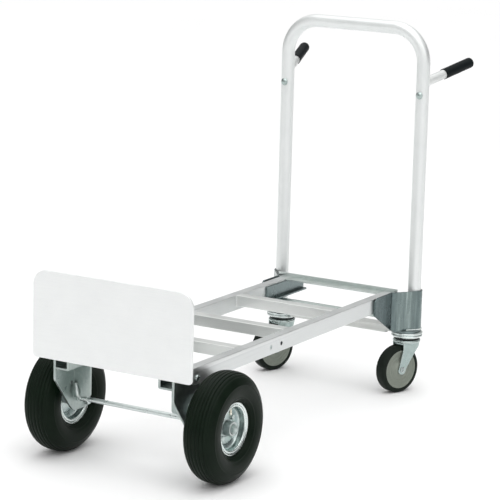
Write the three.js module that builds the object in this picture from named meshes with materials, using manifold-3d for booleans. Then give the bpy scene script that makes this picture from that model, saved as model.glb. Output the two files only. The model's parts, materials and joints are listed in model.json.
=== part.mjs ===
// Convertible hand truck, set up as a platform cart: two aluminium rails with crossbars, an upright
// toe plate, two pneumatic wheels at the front, two swivel casters at the rear and a lift-out handle.
// Millimetres, +Z up. +X is the truck's right side, -Y its front (the toe plate), +Y its rear.
// Everything is laid out with Y = 0 on the toe plate's front face and Z = 0 on the floor. The last
// lines move the finished group so that its origin is the bottom centre of its bounding box.
import * as THREE from 'three';
import { mergeVertices } from 'three/addons/utils/BufferGeometryUtils.js';
import Module from 'manifold-3d';

const wasm = await Module();
wasm.setup();

// ---------- driving dimensions ----------
const GAP = 0.3;                       // clearance between pieces that touch

const DECK = 268;                      // height of the load deck: top of rails and crossbars
const RAIL = { inner: 140, outer: 165, height: 40, wall: 2.5, front: 6.5, rear: 1050 };
const COPE = { end: 88, depth: 12 };   // front end of each rail: only this much of its depth remains
const CROSSBAR = { width: 30, height: 28, wall: 2.5, fronts: { front: 304, middle: 528, rear: 769 } };
const RAIL_HOLES = { y: [431, 480], z: 247, radius: 5 };

const TOE = { width: 434, bottom: 256, top: 462, thickness: 6, topRadius: 36, bottomRadius: 9 };
const TOE_ANGLE = { halfLength: 165, leg: 60, foot: 54, thickness: 5 };

const WHEEL = { x: 219.5, y: 135, z: 130 };
const STUB_AXLE = { radius: 6, end: 254, head: 10, headHeight: 7 };
const TIE_ROD = { y: 100, z: 145, radius: 5.8, collar: 8, collarLength: 30, nut: 9, nutHeight: 6 };
const HUB = { inner: -28, outer: 26, radius: 16.6, flange: 32, bearing: 12, bearingLength: 9 };
const RUNNING = 0.35;                  // radial clearance of the wheels on their axles

const BRACKET = { plateIn: 159, plateOut: 165, front: 10, rear: 137, sheet: 6, saddleIn: 122, saddleBase: 232,
  flangeIn: 112 };
const RAIL_BOLT = { y: 105, z: 243, radius: 4, head: 8 };

const TUBE = { x: 200.5, y: 1105, radius: 17, wall: 2.5, bottom: 166.5, top: 950.5, bend: 88 };
const SOCKET = { top: 270, bottom: 163, sheet: 4, clearance: 0.5, plateX: 170, front: 945, bend: 1033,
  lap: 12 };
const BASE_PLATE = { inner: 163, outer: 222, front: 1056, rear: 1128, bottom: 160, top: 166 };

const REAR_ANGLE = { front: 1015, rear: 1052, sheet: 4, upstand: 9, halfSpan: 179 };
const LOWER_BAR = { front: 1058, rear: 1098, bottom: 155, top: 175, wall: 2.5 };
const TIE_BAR = { front: 1050, rear: 1054, bottom: 193, top: 206, halfLength: 180 };
const INNER_ANGLE = { front: 918, rear: 1116, bottom: 226, top: 263, sheet: 4, flange: 17 };

const CASTER = { x: 190, y: 1093, turn: -20, trail: 31, radius: 62.5, halfWidth: 16, hubRadius: 50.7 };
const CASTER_HEAD = { plateBottom: 154, plateTop: 159.7, raceBottom: 145.5, raceRadius: 41 };
const FORK = { crownTop: 140, crownBottom: 130, crownRadius: 36, legIn: 18.5, sheet: 3.5, tip: 13,
  spread: 30 };

const GRIP_ARM = { z: 813, radius: 12, start: 79, end: 186, out: 27.7, back: 97, up: 24 };
const GRIP = { radius: 13.8, clearance: 0.3, endCap: 4 };
const STOP_BOLT = { z: 783, radius: 4, head: 9.5 };

// ---------- materials ----------
const finish = (color, roughness, metalness) =>
  new THREE.MeshStandardMaterial({ color, roughness, metalness });
const MATERIAL = {
  anodised: finish(0xe2e4e2, 0.3, 0.9),
  railAluminium: finish(0xc3c8c8, 0.4, 0.85),
  toeAluminium: finish(0xe6e8e8, 0.45, 0.7),
  galvanised: finish(0x8d9a98, 0.4, 0.9),
  zinc: finish(0xb9cbc8, 0.3, 0.95),
  tyre: finish(0x151a18, 0.75, 0),
  tread: finish(0x171b19, 0.7, 0),
  casterHub: finish(0x6f766e, 0.6, 0),
  grip: finish(0x191d1f, 0.8, 0),
};

// ---------- geometry helpers ----------
// A closed, position-only copy of a geometry whose faces point out.
function closed(geometry) {
  const bare = new THREE.BufferGeometry();
  bare.setAttribute('position', geometry.getAttribute('position').clone());
  if (geometry.index) bare.setIndex(geometry.index.clone());
  const merged = mergeVertices(bare, 1e-3);
  const point = merged.getAttribute('position');
  const order = merged.index.array;
  const corners = [new THREE.Vector3(), new THREE.Vector3(), new THREE.Vector3()];
  let volume = 0;
  for (let i = 0; i < order.length; i += 3) {
    corners.forEach((corner, k) => corner.fromBufferAttribute(point, order[i + k]));
    volume += corners[0].dot(corners[1].cross(corners[2])) / 6;
  }
  if (volume < 0) {
    for (let i = 0; i < order.length; i += 3) {
      [order[i], order[i + 1]] = [order[i + 1], order[i]];
    }
  }
  return merged;
}

function solid(geometry) {
  const bare = closed(geometry);
  return new wasm.Manifold(new wasm.Mesh({
    numProp: 3,
    vertProperties: new Float32Array(bare.getAttribute('position').array),
    triVerts: new Uint32Array(bare.index.array),
  }));
}

function geometryOf(manifold) {
  const mesh = manifold.getMesh();
  const geometry = new THREE.BufferGeometry();
  geometry.setAttribute('position', new THREE.BufferAttribute(new Float32Array(mesh.vertProperties), 3));
  geometry.setIndex(new THREE.BufferAttribute(new Uint32Array(mesh.triVerts), 1));
  geometry.computeVertexNormals();
  return geometry;
}

const join = (...parts) => geometryOf(parts.map(solid).reduce((a, b) => a.add(b)));
const cut = (body, ...tools) => geometryOf(tools.map(solid).reduce((a, b) => a.subtract(b), solid(body)));

function box(x, y, z) {
  const geometry = new THREE.BoxGeometry(x[1] - x[0], y[1] - y[0], z[1] - z[0]);
  return geometry.translate((x[0] + x[1]) / 2, (y[0] + y[1]) / 2, (z[0] + z[1]) / 2);
}

// A closed outline from [u, v] or [u, v, radius] corners; a radius rounds that corner.
function outline(corners, Kind = THREE.Shape) {
  const shape = new Kind();
  corners.forEach(([u, v, radius = 0], i) => {
    const corner = new THREE.Vector2(u, v);
    const before = new THREE.Vector2(...corners.at(i - 1)).sub(corner).setLength(radius || 1);
    const after = new THREE.Vector2(...corners[(i + 1) % corners.length]).sub(corner).setLength(radius || 1);
    const from = radius ? corner.clone().add(before) : corner;
    if (i === 0) shape.moveTo(from.x, from.y);
    else shape.lineTo(from.x, from.y);
    if (radius) shape.quadraticCurveTo(u, v, u + after.x, v + after.y);
  });
  shape.closePath();
  return shape;
}

const extruded = (shape, depth, curveSegments = 4) =>
  new THREE.ExtrudeGeometry(shape, { depth, bevelEnabled: false, curveSegments });

const AXES = [new THREE.Vector3(1, 0, 0), new THREE.Vector3(0, 1, 0), new THREE.Vector3(0, 0, 1)];
const basis = (u, v, w) => new THREE.Matrix4().makeBasis(u, v, w);

// Outlines drawn in Y-Z, X-Z and X-Y, and extruded along the third axis between two planes.
const alongX = (shape, x0, x1, segments) =>
  extruded(shape, x1 - x0, segments).applyMatrix4(basis(AXES[1], AXES[2], AXES[0])).translate(x0, 0, 0);
const alongY = (shape, y0, y1, segments) =>
  extruded(shape, y1 - y0, segments)
    .applyMatrix4(basis(AXES[0], AXES[2], AXES[1].clone().negate())).translate(0, y1, 0);
const alongZ = (shape, z0, z1, segments) => extruded(shape, z1 - z0, segments).translate(0, 0, z0);

// A [distance along the axis, radius] profile turned about X.
const turned = (profile, segments) =>
  new THREE.LatheGeometry(profile.map(([along, radius]) => new THREE.Vector2(radius, along)), segments)
    .rotateZ(-Math.PI / 2);

// The same profile turned about +Z.
const turnedUp = (profile, segments) =>
  new THREE.LatheGeometry(profile.map(([along, radius]) => new THREE.Vector2(radius, along)), segments)
    .rotateX(Math.PI / 2);

const ring = (x0, x1, inner, outer, segments) =>
  turned([[x0, inner], [x0, outer], [x1, outer], [x1, inner], [x0, inner]], segments);

// A round bar, or a hexagonal one with six segments, between two points.
function rod(from, to, radius, segments = 20) {
  const start = new THREE.Vector3(...from);
  const along = new THREE.Vector3(...to).sub(start);
  const turn = new THREE.Quaternion().setFromUnitVectors(AXES[1], along.clone().normalize());
  return new THREE.CylinderGeometry(radius, radius, along.length(), segments)
    .applyQuaternion(turn).translate(...start.addScaledVector(along, 0.5).toArray());
}

// A rectangular tube's section, with rounded outer corners and a square bore.
function tubeSection(u0, u1, v0, v1, wall, radius = 2) {
  const shape = outline([[u0, v0, radius], [u1, v0, radius], [u1, v1, radius], [u0, v1, radius]]);
  const bore = [[u0 + wall, v0 + wall], [u0 + wall, v1 - wall], [u1 - wall, v1 - wall],
    [u1 - wall, v0 + wall]];
  shape.holes.push(outline(bore, THREE.Path));
  return shape;
}

// The plan outline of a bent sheet: a line of points thickened by half the sheet to each side.
function sheetOutline(points, sheet) {
  const path = points.map(([x, y]) => new THREE.Vector2(x, y));
  const offset = path.map((point, i) => {
    const before = point.clone().sub(path[Math.max(i - 1, 0)]).normalize();
    const after = path[Math.min(i + 1, path.length - 1)].clone().sub(point).normalize();
    const along = before.add(after).normalize();
    const mitre = Math.max(along.dot(i ? point.clone().sub(path[i - 1]).normalize() : along), 0.5);
    return new THREE.Vector2(along.y, -along.x).multiplyScalar(sheet / 2 / mitre);
  });
  const right = path.map((point, i) => point.clone().add(offset[i]));
  const left = path.map((point, i) => point.clone().sub(offset[i]));
  return new THREE.Shape([...right, ...left.reverse()]);
}

// A left-hand copy of a right-hand piece.
function mirrored(geometry) {
  const copy = closed(geometry);
  copy.scale(-1, 1, 1);
  return closed(copy);
}

// ---------- assembly helpers ----------
const truck = new THREE.Group();

function add(name, geometry, material, parent = truck) {
  const mesh = new THREE.Mesh(closed(geometry), material);
  mesh.name = name;
  parent.add(mesh);
  return mesh;
}

// A right-hand piece and its mirror image.
function addPair(name, geometry, material) {
  add(`${name}_right`, geometry, material);
  add(`${name}_left`, mirrored(geometry), material);
}

// ---------- load frame ----------
function rail() {
  const section = tubeSection(RAIL.inner, RAIL.outer, DECK - RAIL.height, DECK, RAIL.wall);
  const outerWall = [RAIL.outer - 6, RAIL.outer + 1];
  const hooks = RAIL_HOLES.y.map((y) =>
    rod([outerWall[0], y, RAIL_HOLES.z], [outerWall[1], y, RAIL_HOLES.z], RAIL_HOLES.radius, 12));
  const boltHole = rod([RAIL.inner - 1, RAIL_BOLT.y, RAIL_BOLT.z], [RAIL.outer + 1, RAIL_BOLT.y, RAIL_BOLT.z],
    RAIL_BOLT.radius + 0.5, 12);
  const cope = box([RAIL.inner - 1, RAIL.outer + 1], [0, COPE.end],
    [DECK - RAIL.height - 1, DECK - COPE.depth]);
  return cut(alongY(section, RAIL.front, RAIL.rear), cope, boltHole, ...hooks);
}

function crossbar(front) {
  const section = tubeSection(front, front + CROSSBAR.width, DECK - CROSSBAR.height, DECK, CROSSBAR.wall);
  return alongX(section, -RAIL.inner + GAP, RAIL.inner - GAP);
}

function toePlate() {
  const half = TOE.width / 2;
  const { bottom, top, topRadius, bottomRadius } = TOE;
  const shape = outline([[-half, bottom, bottomRadius], [half, bottom, bottomRadius],
    [half, top, topRadius], [-half, top, topRadius]]);
  return alongY(shape, 0, TOE.thickness, 8);
}

function toeAngle() {
  const { halfLength, leg, foot, thickness } = TOE_ANGLE;
  const back = TOE.thickness + GAP;
  const base = DECK + GAP;
  const profile = outline([[back, base], [back + foot, base, 4], [back + foot, base + thickness],
    [back + thickness + 4, base + thickness, 4], [back + thickness, base + leg], [back, base + leg, 3]]);
  return alongX(profile, -halfLength, halfLength);
}

function railBolt() {
  const { y, z, radius, head } = RAIL_BOLT;
  const nutFace = RAIL.inner - GAP - BRACKET.sheet - GAP;
  return join(
    rod([nutFace - 9, y, z], [RAIL.outer + GAP + 5, y, z], radius, 12),
    rod([RAIL.outer + GAP, y, z], [RAIL.outer + GAP + 5.5, y, z], head, 12),
    rod([nutFace - 7, y, z], [nutFace, y, z], head - 0.5, 6),
  );
}

// ---------- front wheel brackets and axle ----------
function wheelBracket() {
  const { plateIn, plateOut, front, rear, sheet, saddleIn, saddleBase, flangeIn } = BRACKET;
  const underRail = DECK - RAIL.height - GAP;
  const underCope = DECK - COPE.depth - GAP;
  const saddleEnd = COPE.end - 0.5;
  const plate = alongX(outline([[front, underCope], [saddleEnd, underCope], [saddleEnd, underRail],
    [rear, underRail], [rear, 160, 8], [149, 144, 7], [149, 128, 7], [141, 116, 6], [84, 116, 8],
    [71, 128, 6], [front, 206, 6]]), plateIn, plateOut);
  const saddle = alongY(outline([[saddleIn, underCope], [saddleIn, saddleBase, 5], [plateIn + 1, saddleBase],
    [plateIn + 1, saddleBase + sheet - 1], [saddleIn + sheet, saddleBase + sheet - 1],
    [saddleIn + sheet, underCope]]), front, saddleEnd);
  const flange = alongY(outline([[flangeIn, saddleBase + 8, 4], [flangeIn, 158, 6], [plateIn + 1, 150],
    [plateIn + 1, saddleBase + 2], [plateIn - 1, saddleBase + 8]]), 82, 87);
  const tab = box([RAIL.inner - GAP - sheet, RAIL.inner - GAP], [84, 116], [underRail - 8, underCope]);
  const holeAt = (y, z, radius, segments = 20) => rod([100, y, z], [200, y, z], radius, segments);
  const holes = [holeAt(WHEEL.y, WHEEL.z, STUB_AXLE.radius + GAP),
    holeAt(TIE_ROD.y, TIE_ROD.z, TIE_ROD.radius + GAP), holeAt(74, 186, 5, 14)];
  const boltHole = rod([100, RAIL_BOLT.y, RAIL_BOLT.z], [150, RAIL_BOLT.y, RAIL_BOLT.z],
    RAIL_BOLT.radius + 0.5, 12);
  return cut(join(plate, saddle, flange, tab), boltHole, ...holes);
}

// The bolt a front wheel turns on, put through its bracket from the inside.
function stubAxle() {
  const { radius, end, head, headHeight } = STUB_AXLE;
  const seat = BRACKET.plateIn - GAP;
  const start = [seat - headHeight, 0, 0];
  return join(rod(start, [end, 0, 0], radius), rod(start, [seat, 0, 0], head, 6))
    .translate(0, WHEEL.y, WHEEL.z);
}

function axleSpacer() {
  return ring(BRACKET.plateOut + GAP, WHEEL.x + HUB.inner - GAP, STUB_AXLE.radius + GAP, 10, 20)
    .translate(0, WHEEL.y, WHEEL.z);
}

// The rod that ties the two brackets together, with a collar inside and a nut outside each of them.
function tieRod() {
  const { y, z, radius, collar, collarLength, nut, nutHeight } = TIE_ROD;
  const [inside, outside] = [BRACKET.plateIn - GAP, BRACKET.plateOut + GAP];
  const reach = outside + nutHeight + 1.5;
  const ends = [-1, 1].flatMap((side) => [
    rod([side * inside, y, z], [side * (inside - collarLength), y, z], collar),
    rod([side * outside, y, z], [side * (outside + nutHeight), y, z], nut, 6),
  ]);
  return join(rod([-reach, y, z], [reach, y, z], radius), ...ends);
}

function axleNut() {
  const start = WHEEL.x + HUB.outer + GAP;
  const nut = rod([start, 0, 0], [start + 6.5, 0, 0], 9.5, 6);
  const washer = rod([start, 0, 0], [start + 1.5, 0, 0], 11.5, 20);
  const bore = rod([start - 1, 0, 0], [start + 8, 0, 0], STUB_AXLE.radius + GAP, 20);
  return cut(join(nut, washer), bore).translate(0, WHEEL.y, WHEEL.z);
}

// ---------- pneumatic wheels, drawn about X with the wheel's middle plane at X = 0 ----------
function tyre() {
  const half = [[0, 130], [15, 129], [27, 124], [36.5, 112.5], [41.5, 96], [40, 80], [33, 67],
    [23.8, 62], [23.8, 53], [18, 53], [18, 60], [32, 80], [30, 108], [0, 120]];
  const other = half.slice(1, -1).map(([along, radius]) => [-along, radius]).reverse();
  return turned([...half, ...other, half[0]], 32);
}

// One pressed half of the split rim, for the side with positive X.
function rimHalf() {
  const profile = [[0.3, 17.2], [0.3, 41], [9, 52.2], [24, 52.4], [24.3, 60], [26, 61.5],
    [27.6, 60.4], [26.2, 50.5], [10.5, 49.8], [2.3, 39.5], [2.3, 17.2], [0.3, 17.2]];
  return turned(profile, 28);
}

function wheelHub() {
  const { inner, outer, radius, flange, bearing, bearingLength } = HUB;
  const bore = STUB_AXLE.radius + RUNNING;
  return turned([[inner, bearing], [inner, radius], [2.7, radius], [2.7, flange], [5.7, flange],
    [5.7, radius],
    [outer, radius], [outer, bearing], [outer - bearingLength, bearing], [outer - bearingLength, bore],
    [inner + bearingLength, bore], [inner + bearingLength, bearing], [inner, bearing]], 20);
}

function bearing(start) {
  const bore = STUB_AXLE.radius + RUNNING;
  return ring(start, start + HUB.bearingLength - 0.6, bore, HUB.bearing - GAP, 16);
}

// The clamp ring with its four bolt heads that holds the rim halves to the hub flange.
function rimClamp() {
  const heads = [45, 135, 225, 315].map((degrees) => {
    const angle = THREE.MathUtils.degToRad(degrees);
    const [y, z] = [30 * Math.cos(angle), 30 * Math.sin(angle)];
    return rod([6.5, y, z], [13, y, z], 6.8, 6);
  });
  return join(ring(6, 8, 20, 37, 24), ...heads);
}

const valveStem = () => join(rod([17, 0, 33], [17, 0, 49.3], 3, 10), rod([17, 0, 32], [17, 0, 38], 4, 10));

function addWheel(side) {
  const name = side > 0 ? 'right' : 'left';
  const group = new THREE.Group();
  group.position.set(side * WHEEL.x, WHEEL.y, WHEEL.z);
  truck.add(group);
  const facing = (geometry) => (side > 0 ? geometry : mirrored(geometry));
  add(`tyre_${name}`, facing(tyre()), MATERIAL.tyre, group);
  add(`rim_outer_${name}`, facing(rimHalf()), MATERIAL.zinc, group);
  add(`rim_inner_${name}`, facing(mirrored(rimHalf())), MATERIAL.zinc, group);
  add(`wheel_hub_${name}`, facing(wheelHub()), MATERIAL.galvanised, group);
  add(`bearing_outer_${name}`, facing(bearing(HUB.outer - HUB.bearingLength + GAP)), MATERIAL.zinc, group);
  add(`bearing_inner_${name}`, facing(bearing(HUB.inner + GAP)), MATERIAL.zinc, group);
  add(`rim_clamp_${name}`, facing(rimClamp()), MATERIAL.zinc, group);
  add(`valve_stem_${name}`, facing(valveStem()), MATERIAL.zinc, group);
}

// ---------- rear carriage ----------
// Side plate and handle socket are one bent sheet: along the rail, out to the handle tube, round its
// front, outer and rear sides, and back in behind it. It stands on a base plate for the caster.
function casterBracket() {
  const { top, bottom, sheet, clearance, plateX, front, bend, lap } = SOCKET;
  const radius = TUBE.radius + clearance + sheet / 2;
  const centre = [TUBE.x - plateX, TUBE.y - bend];
  const touch = Math.atan2(centre[1], centre[0]) - Math.asin(radius / Math.hypot(...centre)) - Math.PI / 2;
  const arc = Array.from({ length: 13 }, (_, i) => {
    const angle = THREE.MathUtils.lerp(touch, Math.PI / 2, i / 12);
    return [TUBE.x + radius * Math.cos(angle), TUBE.y + radius * Math.sin(angle)];
  });
  const path = [[plateX, front], [plateX, bend], ...arc, [TUBE.x - lap, TUBE.y + radius]];
  const wrap = alongZ(sheetOutline(path, sheet), bottom, top);
  const slope = alongX(outline([[front - 20, bottom - 20], [front - 20, 223], [front, 223],
    [1039, BASE_PLATE.top], [1039, bottom - 20]]), plateX - 10, plateX + 10);
  const topCorner = alongX(outline([[front - 1, top - 9], [front + 9, top + 1], [front - 1, top + 1]]),
    plateX - 10, plateX + 10);
  const plate = BASE_PLATE;
  const base = alongZ(outline([[plate.inner, plate.front, 6], [plate.outer, plate.front, 22],
    [plate.outer, plate.rear, 22], [plate.inner, plate.rear, 22]]), plate.bottom, plate.top);
  return join(cut(wrap, slope, topCorner), base);
}

function rearAngle() {
  const { front, rear, sheet, upstand, halfSpan } = REAR_ANGLE;
  const reach = RAIL.inner - GAP;
  const profile = outline([[front, DECK - sheet], [rear, DECK - sheet, 3], [rear, DECK + upstand],
    [rear - sheet, DECK + upstand], [rear - sheet, DECK], [front, DECK]]);
  const ends = box([-halfSpan, halfSpan], [rear - sheet, rear], [DECK + GAP, DECK + upstand - 1]);
  return join(alongX(profile, -reach, reach), ends);
}

// A flat tube between the two base plates; its ends are cut away underneath over the caster plates.
function lowerBar() {
  const { front, rear, bottom, top, wall } = LOWER_BAR;
  const half = BASE_PLATE.inner - GAP;
  const cope = (x0, x1) => box([x0, x1], [front - 1, rear + 1], [bottom - 1, CASTER_HEAD.plateTop + GAP]);
  return cut(alongX(tubeSection(front, rear, bottom, top, wall), -half, half),
    cope(half - 18, half + 1), cope(-half - 1, 18 - half));
}

function tieBar() {
  const half = TIE_BAR.halfLength;
  return box([-half, half], [TIE_BAR.front, TIE_BAR.rear], [TIE_BAR.bottom, TIE_BAR.top]);
}

function innerAngle() {
  const { front, rear, bottom, top, sheet, flange } = INNER_ANGLE;
  const web = RAIL.inner - GAP;
  const profile = outline([[web, bottom, 3], [web, top], [web - sheet, top], [web - sheet, bottom + sheet],
    [web - flange, bottom + sheet], [web - flange, bottom, 1.5]]);
  const tipCut = alongX(outline([[rear - 9, bottom - 1], [rear + 1, bottom - 1], [rear + 1, bottom + 9]]),
    web - flange - 1, web + 1);
  return cut(alongY(profile, front, rear), tipCut);
}

// ---------- swivel casters, drawn with the swivel axis at X = Y = 0 ----------
function casterPlate() {
  const { plateBottom, plateTop, raceBottom, raceRadius } = CASTER_HEAD;
  const plate = turnedUp([[plateBottom, 0], [plateBottom, raceRadius - 1], [plateBottom + 1, raceRadius],
    [plateTop - 1, raceRadius], [plateTop, raceRadius - 1], [plateTop, 0]], 28);
  const race = turnedUp([[raceBottom, 0], [raceBottom, raceRadius - 5], [raceBottom + 3, raceRadius],
    [plateBottom - 1, raceRadius], [plateBottom + 1, raceRadius - 4], [plateBottom + 1, 0]], 28);
  return join(plate, race);
}

const casterBearing = () =>
  turnedUp([[FORK.crownTop + GAP, 18], [FORK.crownTop + GAP, 33], [CASTER_HEAD.raceBottom - GAP, 33],
    [CASTER_HEAD.raceBottom - GAP, 18], [FORK.crownTop + GAP, 18]], 24);

// One side of the fork: a tapered plate from the crown to a round tip at the wheel's axle.
function forkLeg() {
  const { crownTop, legIn, sheet, tip, spread } = FORK;
  const shape = new THREE.Shape();
  shape.moveTo(-spread, crownTop - 1);
  shape.lineTo(-spread + 1, 118);
  shape.absarc(-CASTER.trail, CASTER.radius, tip, Math.PI * 0.97, Math.PI * 1.86, false);
  shape.lineTo(spread - 6, 118);
  shape.lineTo(spread, crownTop - 1);
  shape.closePath();
  return alongX(shape, legIn, legIn + sheet, 6);
}

function casterFork() {
  const { crownTop, crownBottom, crownRadius, legIn, sheet } = FORK;
  const crown = turnedUp([[crownBottom, 0], [crownBottom, legIn + sheet],
    [crownBottom + 3, crownRadius - 3], [crownTop - 4, crownRadius], [crownTop - 1, crownRadius - 1],
    [crownTop, crownRadius - 4], [crownTop, 0]], 28);
  const hole = rod([-40, -CASTER.trail, CASTER.radius], [40, -CASTER.trail, CASTER.radius], 4 + GAP, 14);
  return cut(join(crown, forkLeg(), mirrored(forkLeg())), hole);
}

function casterAxle() {
  const end = FORK.legIn + FORK.sheet + GAP;
  const half = [[0, 4], [end, 4], [end, 7.5], [end + 1.5, 6.5], [end + 1.5, 3], [end - 6, 3], [end - 6, 0]];
  const other = half.slice(1).map(([along, radius]) => [-along, radius]).reverse();
  return turned([...other, ...half.slice(1)], 14).translate(0, -CASTER.trail, CASTER.radius);
}

function casterTread() {
  const { radius, halfWidth, hubRadius } = CASTER;
  const inner = hubRadius + GAP;
  return turned([[-halfWidth, inner], [-halfWidth, radius - 5], [-halfWidth + 5, radius],
    [halfWidth - 5, radius], [halfWidth, radius - 5], [halfWidth, inner], [-halfWidth, inner]], 32)
    .translate(0, -CASTER.trail, radius);
}

function casterHub() {
  const { radius, halfWidth, hubRadius } = CASTER;
  const bore = 4 + RUNNING;
  const half = [[0, hubRadius], [halfWidth - 0.5, hubRadius], [halfWidth - 0.5, hubRadius - 4],
    [halfWidth - 3, hubRadius - 6], [halfWidth - 4, 22], [halfWidth + 1.5, 16], [halfWidth + 1.5, bore]];
  const other = half.slice(1).map(([along, r]) => [-along, r]).reverse();
  return turned([...half, ...other, half[0]], 24).translate(0, -CASTER.trail, radius);
}

function addCaster(side) {
  const name = side > 0 ? 'right' : 'left';
  const head = new THREE.Group();
  head.position.set(side * CASTER.x, CASTER.y, 0);
  truck.add(head);
  add(`caster_plate_${name}`, casterPlate(), MATERIAL.zinc, head);
  add(`caster_bearing_${name}`, casterBearing(), MATERIAL.galvanised, head);
  const swivel = new THREE.Group();
  swivel.rotation.z = THREE.MathUtils.degToRad(CASTER.turn);
  head.add(swivel);
  add(`caster_fork_${name}`, casterFork(), MATERIAL.zinc, swivel);
  add(`caster_axle_${name}`, casterAxle(), MATERIAL.zinc, swivel);
  add(`caster_tread_${name}`, casterTread(), MATERIAL.tread, swivel);
  add(`caster_hub_${name}`, casterHub(), MATERIAL.casterHub, swivel);
}

// ---------- handle ----------
// The U-shaped path of the handle tube. Its parameter runs over stations, not over length, so the
// straight stretches need no steps of their own and the bends get them all.
class HandlePath extends THREE.Curve {
  constructor() {
    super();
    const { x, y, bottom, top, bend } = TUBE;
    const steps = 7;
    const corner = (sign, from, to) => Array.from({ length: steps + 1 }, (_, i) => {
      const angle = THREE.MathUtils.lerp(from, to, i / steps);
      return new THREE.Vector3(sign * (x - bend) + bend * Math.cos(angle), y,
        top - bend + bend * Math.sin(angle));
    });
    this.stations = [new THREE.Vector3(x, y, bottom), ...corner(1, 0, Math.PI / 2),
      ...corner(-1, Math.PI / 2, Math.PI), new THREE.Vector3(-x, y, bottom)];
  }

  getPoint(t) {
    const at = t * (this.stations.length - 1);
    const from = Math.min(Math.floor(at), this.stations.length - 2);
    return this.stations[from].clone().lerp(this.stations[from + 1], at - from);
  }

  getPointAt(u) {
    return this.getPoint(u);
  }

  getTangentAt(u) {
    const count = this.stations.length - 1;
    const station = Math.round(u * count);
    const before = this.stations[Math.max(station - 1, 0)];
    const after = this.stations[Math.min(station + 1, count)];
    if (station === 0 || station === count) return after.clone().sub(before).normalize();
    const here = this.stations[station];
    return here.clone().sub(before).normalize().add(after.clone().sub(here).normalize()).normalize();
  }
}

function handleTube() {
  const path = new HandlePath();
  const section = new THREE.Shape().absarc(0, 0, TUBE.radius, 0, Math.PI * 2);
  section.holes.push(new THREE.Path().absarc(0, 0, TUBE.radius - TUBE.wall, 0, Math.PI * 2, true));
  const tube = new THREE.ExtrudeGeometry(section,
    { steps: path.stations.length - 1, extrudePath: path, bevelEnabled: false, curveSegments: 12 });
  const holes = [-1, 1].map((side) => rod([side * TUBE.x, TUBE.y - TUBE.radius - 1, STOP_BOLT.z],
    [side * TUBE.x, TUBE.y, STOP_BOLT.z], STOP_BOLT.radius + 0.4, 12));
  return cut(tube, ...holes);
}

const ARM_DIRECTION = new THREE.Vector3(GRIP_ARM.out, GRIP_ARM.back, GRIP_ARM.up).normalize();
const armPoint = (distance) =>
  new THREE.Vector3(TUBE.x, TUBE.y, GRIP_ARM.z).addScaledVector(ARM_DIRECTION, distance).toArray();

// The bar that carries a grip; its inner end is hollowed to sit against the handle tube.
function gripArm() {
  const arm = rod(armPoint(8), armPoint(GRIP_ARM.end - GRIP.endCap - 0.5), GRIP_ARM.radius, 20);
  const seat = rod([TUBE.x, TUBE.y, GRIP_ARM.z - 60], [TUBE.x, TUBE.y, GRIP_ARM.z + 60],
    TUBE.radius + GAP, 40);
  return cut(arm, seat);
}

// A plain rubber sleeve, closed at its outer end.
function grip() {
  const { start, end } = GRIP_ARM;
  const { radius, clearance, endCap } = GRIP;
  const sleeve = join(rod(armPoint(start), armPoint(end - 3), radius, 24),
    rod(armPoint(end - 4), armPoint(end), radius - 2, 24));
  return cut(sleeve, rod(armPoint(start - 10), armPoint(end - endCap), GRIP_ARM.radius + clearance, 24));
}

// A dome-headed bolt on the front of each handle tube.
function stopBolt() {
  const { z, radius, head } = STOP_BOLT;
  const face = TUBE.y - TUBE.radius - GAP;
  const profile = [[0, 0], [head, 0], [head, 1.5], [head * 0.8, 4.2], [head * 0.45, 6], [0, 6.6]];
  const dome = new THREE.LatheGeometry(profile.map(([r, along]) => new THREE.Vector2(r, along)), 20)
    .rotateX(Math.PI).translate(TUBE.x, face, z);
  return join(dome, rod([TUBE.x, face - 1, z], [TUBE.x, TUBE.y - 4, z], radius, 12));
}

// ---------- the whole truck ----------
add('toe_plate', toePlate(), MATERIAL.toeAluminium);
add('toe_angle', toeAngle(), MATERIAL.railAluminium);
addPair('rail', rail(), MATERIAL.railAluminium);
Object.entries(CROSSBAR.fronts).forEach(([name, front]) =>
  add(`crossbar_${name}`, crossbar(front), MATERIAL.railAluminium));
addPair('rail_bolt', railBolt(), MATERIAL.zinc);
addPair('wheel_bracket', wheelBracket(), MATERIAL.galvanised);
add('tie_rod', tieRod(), MATERIAL.zinc);
addPair('stub_axle', stubAxle(), MATERIAL.zinc);
addPair('axle_spacer', axleSpacer(), MATERIAL.zinc);
addPair('axle_nut', axleNut(), MATERIAL.zinc);
addWheel(1);
addWheel(-1);
add('rear_angle', rearAngle(), MATERIAL.galvanised);
add('lower_crossbar', lowerBar(), MATERIAL.railAluminium);
add('rear_tie_bar', tieBar(), MATERIAL.galvanised);
addPair('caster_bracket', casterBracket(), MATERIAL.galvanised);
addPair('inner_angle', innerAngle(), MATERIAL.galvanised);
addCaster(1);
addCaster(-1);
add('handle_tube', handleTube(), MATERIAL.anodised);
addPair('grip_arm', gripArm(), MATERIAL.anodised);
addPair('grip', grip(), MATERIAL.grip);
addPair('stop_bolt', stopBolt(), MATERIAL.zinc);

// Origin: bottom centre of the bounding box.
const bounds = new THREE.Box3().setFromObject(truck, true);
const middle = bounds.getCenter(new THREE.Vector3());
truck.position.set(-middle.x, -middle.y, -bounds.min.z);

export default truck;
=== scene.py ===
"""Looks of the convertible hand truck: detailed pieces, materials, floor, light and camera.

Lengths of the truck are millimetres, with Y = 0 on the toe plate's front face and Z = 0 on the
floor; row() turns them into the frame's metres. +X is the truck's right side, +Y its rear. The
floor, the backdrop, the lights and the camera are in metres. An outline for turning is a list of
(distance along the axis, radius).
"""
import json
import math

import bmesh
import bpy
from mathutils import Matrix, Vector

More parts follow.
